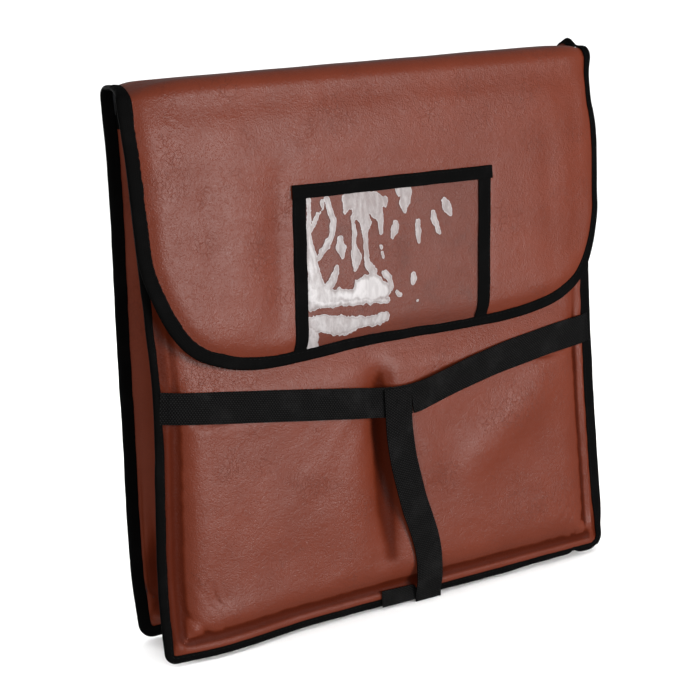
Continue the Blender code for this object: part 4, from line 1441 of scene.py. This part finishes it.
lift = flowing(x, zp)
lift = np.minimum(lift, -2.0 * soft_patches(x, zp, holes))
standoff_and_glare = np.clip(0.5 + 0.38 * lift, 0, 1)
inside = smoothstep(0, 14, np.minimum.reduce([x - x0, x1 - x, 374 - zp, zp - low]))
w = flap_face_at(x, zp) + 0.35 + inside * (
    0.55 + 0.5 * fbm(x / 42, zp / 36, 61, 2) + 0.5 * standoff_and_glare + streak(x, zp, -46, 275, -5.5, 46, 2.2, -0.9)
)
w = np.maximum(w, flap_face_at(x, zp) + 0.3)
made = shell(
    "clear_film_sheet", on_flap(x, Z_SPLIT - zp, w), on_flap(x, Z_SPLIT - zp, w - 0.25), FILM,
    np.stack([x, zp], -1), standoff_and_glare,
)
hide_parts("window_film")
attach(made, "flap")


# ------------------------------------------------------------------ hook and loop
def pile_pad(name, x0, x1, z0, z1, w0, w1, place, seed, up_is_outer=True):
    nu, nv = 74, 20
    u = np.linspace(0, 1, nu)[:, None]
    v = np.linspace(0, 1, nv)[None, :]
    x = x0 + (x1 - x0) * u + 0 * v
    z = z0 + (z1 - z0) * v + 0 * u
    near = np.minimum(np.minimum(x - x0, x1 - x), np.minimum(z - z0, z1 - z))
    drop = 0.25 * np.exp(-near / 0.8)
    fuzz = 0.10 * noise2(x / 0.9, z / 0.9, seed)
    a, b = (w1 - drop + fuzz, w0 + 0 * x) if up_is_outer else (w1 + 0 * x, w0 + drop + fuzz)
    made = shell(name, place(x, z, a), place(x, z, b), HOOKS, np.stack([x + 400, z], -1))
    return made


for side, label in ((-1, "left"), (1, "right")):
    x0, x1 = side * 110 - 50, side * 110 + 50
    flat = lambda x, z, w: np.stack(np.broadcast_arrays(x, -w, z), -1).astype(float)
    made = pile_pad("loop_pile_" + label, x0, x1, 257.5, 282.5, 5.35, 6.3, flat, 121 + side)
    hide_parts("loop_strip_" + label)
    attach(made, "front_panel")

    def on_under_flap(x, z, w):
        s = flap_s(z)
        return on_flap(x, s, flap_base(x, s) + w)

    made = pile_pad(
        "hook_pile_" + label, x0, x1, 257.5, 282.5, -3.75, -2.65, on_under_flap, 125 + side, False
    )
    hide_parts("hook_strip_" + label)
    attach(made, "flap")


# ------------------------------------------------------------------ gusset
def u_points(inset, left, right, top, radius, k_side=110, k_turn=12, k_low=60):
    """The gusset's U at one inset, always with the same number of points."""
    r = max(radius - 0.3 * inset, 5.0)
    floor = inset
    t = np.linspace(0, 1, k_side)
    zs = top + (floor + r - top) * t
    a = np.stack([left(zs) + inset, zs], 1)
    xl = float(left(floor + r)) + inset
    xr = float(right(floor + r)) - inset
    g = np.radians(np.linspace(180, 270, k_turn))
    b = np.stack([xl + r * (1 + np.cos(g)), floor + r * (1 + np.sin(g))], 1)
    c = np.stack([np.linspace(xl + r, xr - r, k_low), np.full(k_low, floor)], 1)
    g = np.radians(np.linspace(270, 360, k_turn))
    d = np.stack([xr - r * (1 - np.cos(g)), floor + r * (1 + np.sin(g))], 1)
    zs = zs[::-1]
    e = np.stack([right(zs) - inset, zs], 1)
    return np.concatenate([a, b[1:], c[1:], d[1:], e[1:]])


def gusset_grid(seed):
    """The pleat: a flange in the front tape, in to the fold, and out to the rear tape."""
    base = u_points(4.0, front_left, front_right, 448.5, 14.0)
    s = arc_lengths(base)
    low_mid = s[-1] / 2
    corner_l, corner_r = s[110 + 5], s[-1] - s[110 + 5]
    at_corner = np.exp(-(((s - corner_l) / 34) ** 2)) + np.exp(-(((s - corner_r) / 34) ** 2))
    tip = 34.0 - 7.0 * at_corner + 1.6 * noise2(s / 70, 0.2, seed + 3)
    steps = (4.0, 14.0, 24.0, 36.0)
    fronts = [u_points(i, front_left, front_right, 448.5, 14.0) for i in steps]
    rears = [u_points(i, lambda q: -back_side(q), back_side, 448.5, 15.0) for i in steps]
    rows = [(4.0, 0.0), (6.4, 0.0), (8.6, 0.006)]
    rows += [(None, t) for t in np.linspace(0.022, 0.978, 29)]
    rows += [(9.6, 0.994), (6.8, 1.0), (4.0, 1.0)]
    grid = []
    index = np.arange(len(s))
    for fixed, t in rows:
        v = 2 * t - 1
        vee = 1 - math.sqrt(v * v + 0.0045) / math.sqrt(1.0045)
        inset = (tip - 10.6) * vee + 10.6 if fixed is None else np.full(len(s), fixed)
        share = float(smoothstep(0, 1, t))
        levels = np.stack([(1 - share) * a + share * b for a, b in zip(fronts, rears)])
        k = np.clip(np.interp(inset, steps, [0, 1, 2, 3]), 0, 2.9999)
        i0 = k.astype(int)
        f = (k - i0)[:, None]
        p = levels[i0, index] * (1 - f) + levels[i0 + 1, index] * f
        y_front = front_plane(p[:, 0], p[:, 1]) + 1.1
        y_rear = depth_at(p[:, 1]) + back_base(p[:, 1]) * smoothstep(462, 402, p[:, 1]) - 1.1
        y = y_front + (y_rear - y_front) * t
        # slack cloth between the seams swells and buckles, most at the bottom corners
        slack = 0.0 if fixed is not None else math.sin(math.pi * min(1.0, 2 * min(t, 1 - t))) ** 0.7
        swell = slack * (
            1.2 + 3.4 * noise2(s / 52 + t, t * 1.7, seed) + 1.6 * noise2(s / 21 + 1.4 * t, t * 2.4, seed + 1)
            + 5.2 * at_corner * noise2(s / 12 + t, t * 2.2, seed + 2)
        )
        side = -1 if t < 0.5 else 1
        # the rear leg is pinched above the lower corners, with a long soft fold over the pinch
        pinch = 0.0 * s
        if fixed is None and t > 0.5:
            for corner, lean in ((corner_l, 1), (corner_r, -1)):
                up = (corner - s) * lean
                q = t - 0.90
                pinch = pinch + slack * (
                    3.6 * np.exp(-((q / 0.04) ** 2)) * smoothstep(28, 44, up) * smoothstep(170, 90, up)
                    - 3.4 * np.exp(-(((q + 0.09) / 0.05) ** 2)) * smoothstep(30, 50, up) * smoothstep(110, 70, up)
                    + 3.6 * np.exp(-(((q + 0.01) / 0.06) ** 2) - ((up - 36) / 6.5) ** 2)
                    - 4.4 * np.exp(-(((up - 24 - 60 * q) / 4.5) ** 2) - (q / 0.12) ** 2)
                    + 4.0 * np.exp(-(((up - 11 + 70 * q) / 5.0) ** 2) - (q / 0.10) ** 2)
                    - 3.0 * np.exp(-(((up + 2 + 60 * q) / 4.0) ** 2) - (q / 0.10) ** 2)
                )
        y = y + side * swell * 0.6 - 0.55 * pinch
        toward = np.gradient(p, axis=0)
        toward /= np.linalg.norm(toward, axis=1)[:, None] + 1e-9
        out = np.stack([toward[:, 1], -toward[:, 0]], 1)
        if ((p - (0, 240)) * out).sum(1).mean() < 0:
            out = -out
        p = p + out * (swell * 0.4 + 0.85 * pinch)[:, None]
        grid.append(np.stack([p[:, 0], y, p[:, 1]], -1))
    return np.stack(grid, 1), s


def offset_grid(grid, distance, away_from=None):
    du = np.gradient(grid, axis=0)
    dv = np.gradient(grid, axis=1)
    n = np.cross(du, dv)
    n /= np.linalg.norm(n, axis=2)[..., None] + 1e-9
    return grid + n * distance


grid, s = gusset_grid(141)
mid = grid.shape[0] // 2
probe = offset_grid(grid, 1.0)
down = probe[mid, 3, 2] < grid[mid, 3, 2]
sign = 1.0 if down else -1.0
rows = grid.shape[1]
run = np.linspace(0, 78, rows)
uv = np.stack(np.broadcast_arrays(s[:, None], 4300 + run[None, :]), -1)
t = np.linspace(0, 1, rows)
# Painted shade in the pleat: over the front leg and the fold, fading out across the rear leg, strongest just
# above the bottom corners, and along both seams.
low_part = smoothstep(120, 62, grid[:, :, 2]) * smoothstep(14, 34, grid[:, :, 2])
painted_shade = 1.0 * smoothstep(0.92 + 0.03 * low_part, 0.72 + 0.1 * low_part, t) * (0.4 + 0.6 * low_part)
painted_shade = painted_shade + 0.3 * np.exp(-((t / 0.08) ** 2)) + 0.3 * np.exp(-(((1 - t) / 0.08) ** 2))
made = shell(
    "gusset_cover_skin", grid, offset_grid(grid, -0.8 * sign), LEATHER, uv,
    painted_shade, 60,
)
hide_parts("gusset_cover")
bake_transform(made)
made = shell(
    "gusset_lining_skin", offset_grid(grid, -1.0 * sign)[:, ::2],
    offset_grid(grid, -1.45 * sign)[:, ::2], LINER, uv[:, ::2], None, 60,
)
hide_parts("gusset_lining")
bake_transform(made)

for end, label in ((0, "left"), (-1, "right")):
    edge = grid[end, 1:-1]
    lower = grid[1 if end == 0 else -2, 1:-1]
    down_ = lower - edge
    down_ /= np.linalg.norm(down_, axis=1)[:, None]
    outwards = offset_grid(grid, sign)[end, 1:-1] - grid[end, 1:-1]
    outwards /= np.linalg.norm(outwards, axis=1)[:, None]
    ring = [
        (10.5, 0.15), (10.4, 0.75), (8.0, 0.85), (3.0, 1.0), (0.6, 0.9), (-0.9, 0.35),
        (-0.9, -1.9), (0.6, -2.45), (3.0, -2.6), (8.0, -2.4), (10.4, -2.3), (10.5, -1.6),
        (10.4, -1.5), (8.0, -1.5), (3.0, -1.5), (0.2, -1.3), (0.2, -0.2), (3.0, 0.05),
        (8.0, 0.1), (10.4, 0.1),
    ]
    sections = np.stack([edge + down_ * a + outwards * b for a, b in ring], 1)
    l = arc_lengths(edge)
    run_ = np.cumsum([0] + [math.hypot(ring[k + 1][0] - ring[k][0], ring[k + 1][1] - ring[k][1]) for k in range(len(ring) - 1)])
    uv_ = np.stack(np.broadcast_arrays(l[:, None], run_[None, :]), -1)
    made = swept("gusset_mouth_tape_" + label, sections, TAPE, uv_)
    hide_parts("gusset_mouth_binding_" + label)
    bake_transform(made)


# ------------------------------------------------------------------ hand strap
def band(name, middle, across, width, thick, curl=0.0, waves=0.0, seed=0,
         material_=None):
    """Flat webbing along a line of points. across points from its lower to upper edge;
    its thickness goes along the normal that faces away from the panel."""
    middle = np.asarray(middle, float)
    t = np.gradient(middle, axis=0)
    t /= np.linalg.norm(t, axis=1)[:, None]
    across = np.asarray(across, float)
    across = across - (across * t).sum(1)[:, None] * t
    across /= np.linalg.norm(across, axis=1)[:, None]
    normal = np.cross(t, across)
    if normal[:, 1].mean() > 0:
        normal = -normal
    s = arc_lengths(middle)
    half, th = width / 2, thick / 2
    width_noise = 0.22 * fbm(s / 30, 0.3, seed, 2)
    ring = [
        (-1.0, 0.35), (-0.975, 0.85), (-0.90, 1.08), (-0.5, 1.0), (0.0, 1.0), (0.5, 1.0), (0.90, 1.08),
        (0.975, 0.85), (1.0, 0.35), (1.0, -0.35), (0.975, -0.85), (0.90, -1.02), (0.5, -1.0),
        (0.0, -1.0), (-0.5, -1.0), (-0.90, -1.02), (-0.975, -0.85), (-1.0, -0.35),
    ]
    sections, uvs, painted_shade_share = [], [], []
    run = 0.0
    for k, (a, h) in enumerate(ring):
        if k:
            run += math.hypot((a - ring[k - 1][0]) * half, (h - ring[k - 1][1]) * th)
        lift = curl * a * a + waves * fbm(s / 26, 0.5 + 0.35 * a, seed + 2, 2)
        q = middle + across * (a * (half + width_noise))[:, None] + normal * (h * th + lift)[:, None]
        sections.append(q)
        uvs.append(np.stack([s, np.full(len(s), run)], 1))
        # painted shade along the band's edges
        painted_shade_share.append(np.full(len(s), 0.25 if abs(a) == 0.90 else (0.1 if abs(a) > 0.9 else 0.0)))
    made = swept(name, np.stack(sections, 1), material_ or WEB, np.stack(uvs, 1), np.stack(painted_shade_share, 1).ravel())
    return made, normal, across


STRAP_W, STRAP_T = 26.4, 1.6
# left half: nearly straight from its sewn end to the joint; it runs on under the brace
left_line = smooth_path(
    [(-213.2, -2.95, 217.2), (-209.5, -3.5, 216.8), (-203, -6.6, 216.0), (-196, -8.4, 215.0),
     (-170, -10.6, 211.5), (-120, -13.6, 204.7), (-60, -16.6, 196.2), (-16, -18.1, 190.0),
     (0, -18.25, 188.5), (11.6, -18.15, 188.6)],
    2.6,
)
right_line = smooth_path(
    [(213.2, -2.95, 218.6), (209.5, -3.5, 218.4), (203, -6.6, 218.2), (195, -8.3, 217.8),
     (168, -10.3, 215.6), (140, -12.1, 212.2), (118, -13.3, 209.4), (96, -14.6, 205.8),
     (75, -15.8, 201.8), (54, -16.9, 197.2), (36, -17.6, 192.8), (20, -18.1, 189.4), (12.2, -18.2, 188.5)],
    2.6,
)
twist = smoothstep(150, 40, right_line[:, 0]) * smoothstep(12, 34, right_line[:, 0])
lean_left = smoothstep(-205, -150, left_line[:, 0]) * smoothstep(-20, -60, left_line[:, 0])
for label, line, tilt, seed in (
    ("left", left_line, 0.10 * lean_left, 161), ("right", right_line, -0.14 * twist, 163)
):
    up_edge = np.stack([0 * tilt, tilt, 1 + 0 * tilt], 1)
    made, normal, across = band(
        "hand_strap_" + label, line, up_edge, STRAP_W, STRAP_T, curl=0.25, waves=0.35, seed=seed
    )
    if label == "left":
        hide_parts("handle_strap")
        left_normal, left_across = normal, across
    else:
        right_normal, right_across = normal, across
    out = -1 if label == "left" else 1
    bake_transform(made)
    # two rows of stitches hold each sewn end
    ends = [210.6, 204.9]
    for k, x_row in enumerate(ends):
        i = int(np.argmin(np.abs(line[:, 0] - out * x_row)))
        tvals = np.linspace(-11.2, 11.2, 12)[:, None]
        pts = line[i] + across[i] * tvals + normal[i] * (STRAP_T / 2 + 0.30)
        pts = pts + (line[min(i + 1, len(line) - 1)] - line[i]) * 0
        sewn = stitches(
            f"strap_end_stitching_{label}_{k}", pts, np.tile(normal[i], (12, 1)), 3.6, 2.6, 0.5
        )
        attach(sewn, "front_panel")

brace_line = smooth_path(
    [(-2.6, -20.0, 201.0), (-2.7, -20.1, 194.0), (-2.8, -20.1, 182.0), (-2.9, -20.0, 171.0),
     (-2.4, -19.8, 158.0), (0.2, -18.9, 137.0), (4.6, -17.4, 117.0), (10.2, -15.6, 95.0),
     (16.6, -13.9, 76.0), (22.0, -12.5, 58.0), (24.8, -11.4, 42.0), (25.6, -10.4, 28.0),
     (25.6, -9.3, 17.5), (25.6, -6.9, 10.5), (25.6, -5.2, 6.0), (25.7, -4.4, 2.0), (25.7, -4.2, -1.6)],
    2.4,
)
made, brace_normal, brace_across = band(
    "brace_strap_band", brace_line, np.tile([1.0, 0.0, 0.0], (len(brace_line), 1)), STRAP_W, STRAP_T,
    curl=0.25, waves=0.3, seed=171,
)
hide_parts("brace_strap")
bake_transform(made)


def row_on(line, across, normal, a0, b0, a1, b1, count=24):
    """Points on the brace's top face between two (across, along) places in mm."""
    s = arc_lengths(line)
    a = np.linspace(a0, a1, count)
    b = np.linspace(b0, b1, count)
    pick = lambda v: np.stack([np.interp(b, s, v[:, k]) for k in range(3)], 1)
    c, u, m = pick(line), pick(across), pick(normal)
    return c + u * a[:, None] + m * (STRAP_T / 2 + 0.06), m


box = [(-10.3, 2.4), (10.3, 2.4), (10.3, 22.6), (-10.3, 22.6)]
runs = [(box[k], box[(k + 1) % 4]) for k in range(4)] + [(box[0], box[2]), (box[1], box[3])]
for k, (p, q) in enumerate(runs):
    pts, m = row_on(brace_line, brace_across, brace_normal, p[0], p[1], q[0], q[1])
    sewn = stitches(f"joint_stitching_{k}", pts, m, 3.3, 2.4, 0.5)
    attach(sewn, "hand_strap")
total = arc_lengths(brace_line)[-1]
for k, back_off in enumerate((2.4, 8.0)):
    pts, m = row_on(
        brace_line, brace_across, brace_normal, -11.3, total - back_off, 11.3, total - back_off
    )
    sewn = stitches(f"brace_foot_stitching_{k}", pts, m, 3.4, 2.5, 0.5)
    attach(sewn, "front_panel")

# the spare end of tape sewn under the brace's foot
nu, nv = 30, 16
u = np.linspace(0, 1, nu)[:, None]
v = np.linspace(0, 1, nv)[None, :]
x = -20.5 + 37.0 * u + 0 * v
top_edge = 15.6 - 1.2 * u - 5.6 * smoothstep(0.80, 1.0, u) ** 2
z = 0.4 + (top_edge - 0.4) * v + 0 * u
near = np.minimum(np.minimum(x + 20.5, 16.5 - x), np.minimum(z - 0.4, top_edge - z))
sink = smoothstep(9.5, 15.5, z)
w = 3.6 + 0.25 * noise2(x / 9, z / 9, 181) - 0.25 * np.exp(-near / 0.5) + 0.2 * sink
made = shell(
    "strap_anchor_patch", on_front(x, z, w + 1.1), on_front(x, z, w), WEB, np.stack([z, x + 50], -1)
)
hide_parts("strap_anchor_tab")
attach(made, "front_panel")


# ------------------------------------------------------------------ studio
pale, tree, shader = material("pale_ground")
shader.inputs["Base Color"].default_value = (0.92, 0.92, 0.92, 1)
shader.inputs["Roughness"].default_value = 0.9
shader.inputs["Specular IOR Level"].default_value = 0.1


def ring_mesh(name, radii, heights, count=96):
    t = np.linspace(0, 2 * math.pi, count, endpoint=False)
    verts = [(r * math.cos(a), r * math.sin(a), h) for r, h in zip(radii, heights) for a in t]
    faces = []
    for k in range(len(radii) - 1):
        for m in range(count):
            a0, a1 = k * count + m, k * count + (m + 1) % count
            faces.append((a0, a1, a1 + count, a0 + count))
    mesh = bpy.data.meshes.new(name)
    mesh.from_pydata(verts, [], faces)
    mesh.materials.append(pale)
    mesh.shade_smooth()
    made = bpy.data.objects.new(name, mesh)
    bpy.context.scene.collection.objects.link(made)
    return made


ground = ring_mesh("ground", (0.0001, 3.0, 20.0, 70.0), (0, 0, 0, 0))
ground.location.z = CAD_BOX[0][2] - 0.0022
backdrop = ring_mesh("backdrop", (6.0, 8.0, 11.0, 60.0), (-0.003, 0.15, 0.9, 24.0))
backdrop.visible_diffuse = False
backdrop.visible_glossy = False
backdrop.visible_shadow = False
ground.visible_diffuse = False
ground.visible_glossy = False

world = bpy.data.worlds.new("studio")
bpy.context.scene.world = world
world.use_nodes = True
sky = world.node_tree.nodes["Background"]
sky.inputs["Color"].default_value = (1, 1, 1, 1)
sky.inputs["Strength"].default_value = 0.26


def softbox(name, where, aim, size, power, tint=(1, 1, 1)):
    data = bpy.data.lights.new(name, "AREA")
    data.shape = "RECTANGLE"
    data.size, data.size_y = size
    data.energy = power
    data.color = tint
    lamp = bpy.data.objects.new(name, data)
    bpy.context.scene.collection.objects.link(lamp)
    lamp.location = where
    lamp.rotation_euler = (Vector(aim) - Vector(where)).to_track_quat("-Z", "Y").to_euler()
    return lamp


# The floor has its own soft light from overhead. The bag is lit by a large soft box from
# the front right, and a smaller card in front gives the coated cloth its pale sheen.
floor_light = bpy.data.lights.new("floor_light", "SUN")
floor_light.energy = 3.5
floor_light.angle = math.radians(70)
floor_lamp = bpy.data.objects.new("floor_light", floor_light)
bpy.context.scene.collection.objects.link(floor_lamp)
lit_floor = bpy.data.collections.new("lit_floor")
lit_floor.objects.link(ground)
lit_floor.objects.link(backdrop)
floor_lamp.light_linking.receiver_collection = lit_floor

lamps = [
    floor_lamp,
    softbox("key", (0.94, -1.86, 0.52), (-0.62, 0, 0.24), (0.8, 0.7), 31.5),
    softbox("fill", (-1.3, -1.5, 0.42), (-0.25, 0, 0.25), (0.5, 0.5), 9),
    softbox("card", (0.34, -1.85, 0.10), (0, 0, 0.2), (0.62, 0.8), 44),
    softbox("rear", (-0.7, 1.9, 0.7), (0, 0, 0.25), (0.9, 0.7), 16),
]
lamps[1].visible_glossy = False
lamps[2].visible_glossy = False
lamps[3].visible_diffuse = False
bpy.context.scene.view_settings.view_transform = "Standard"
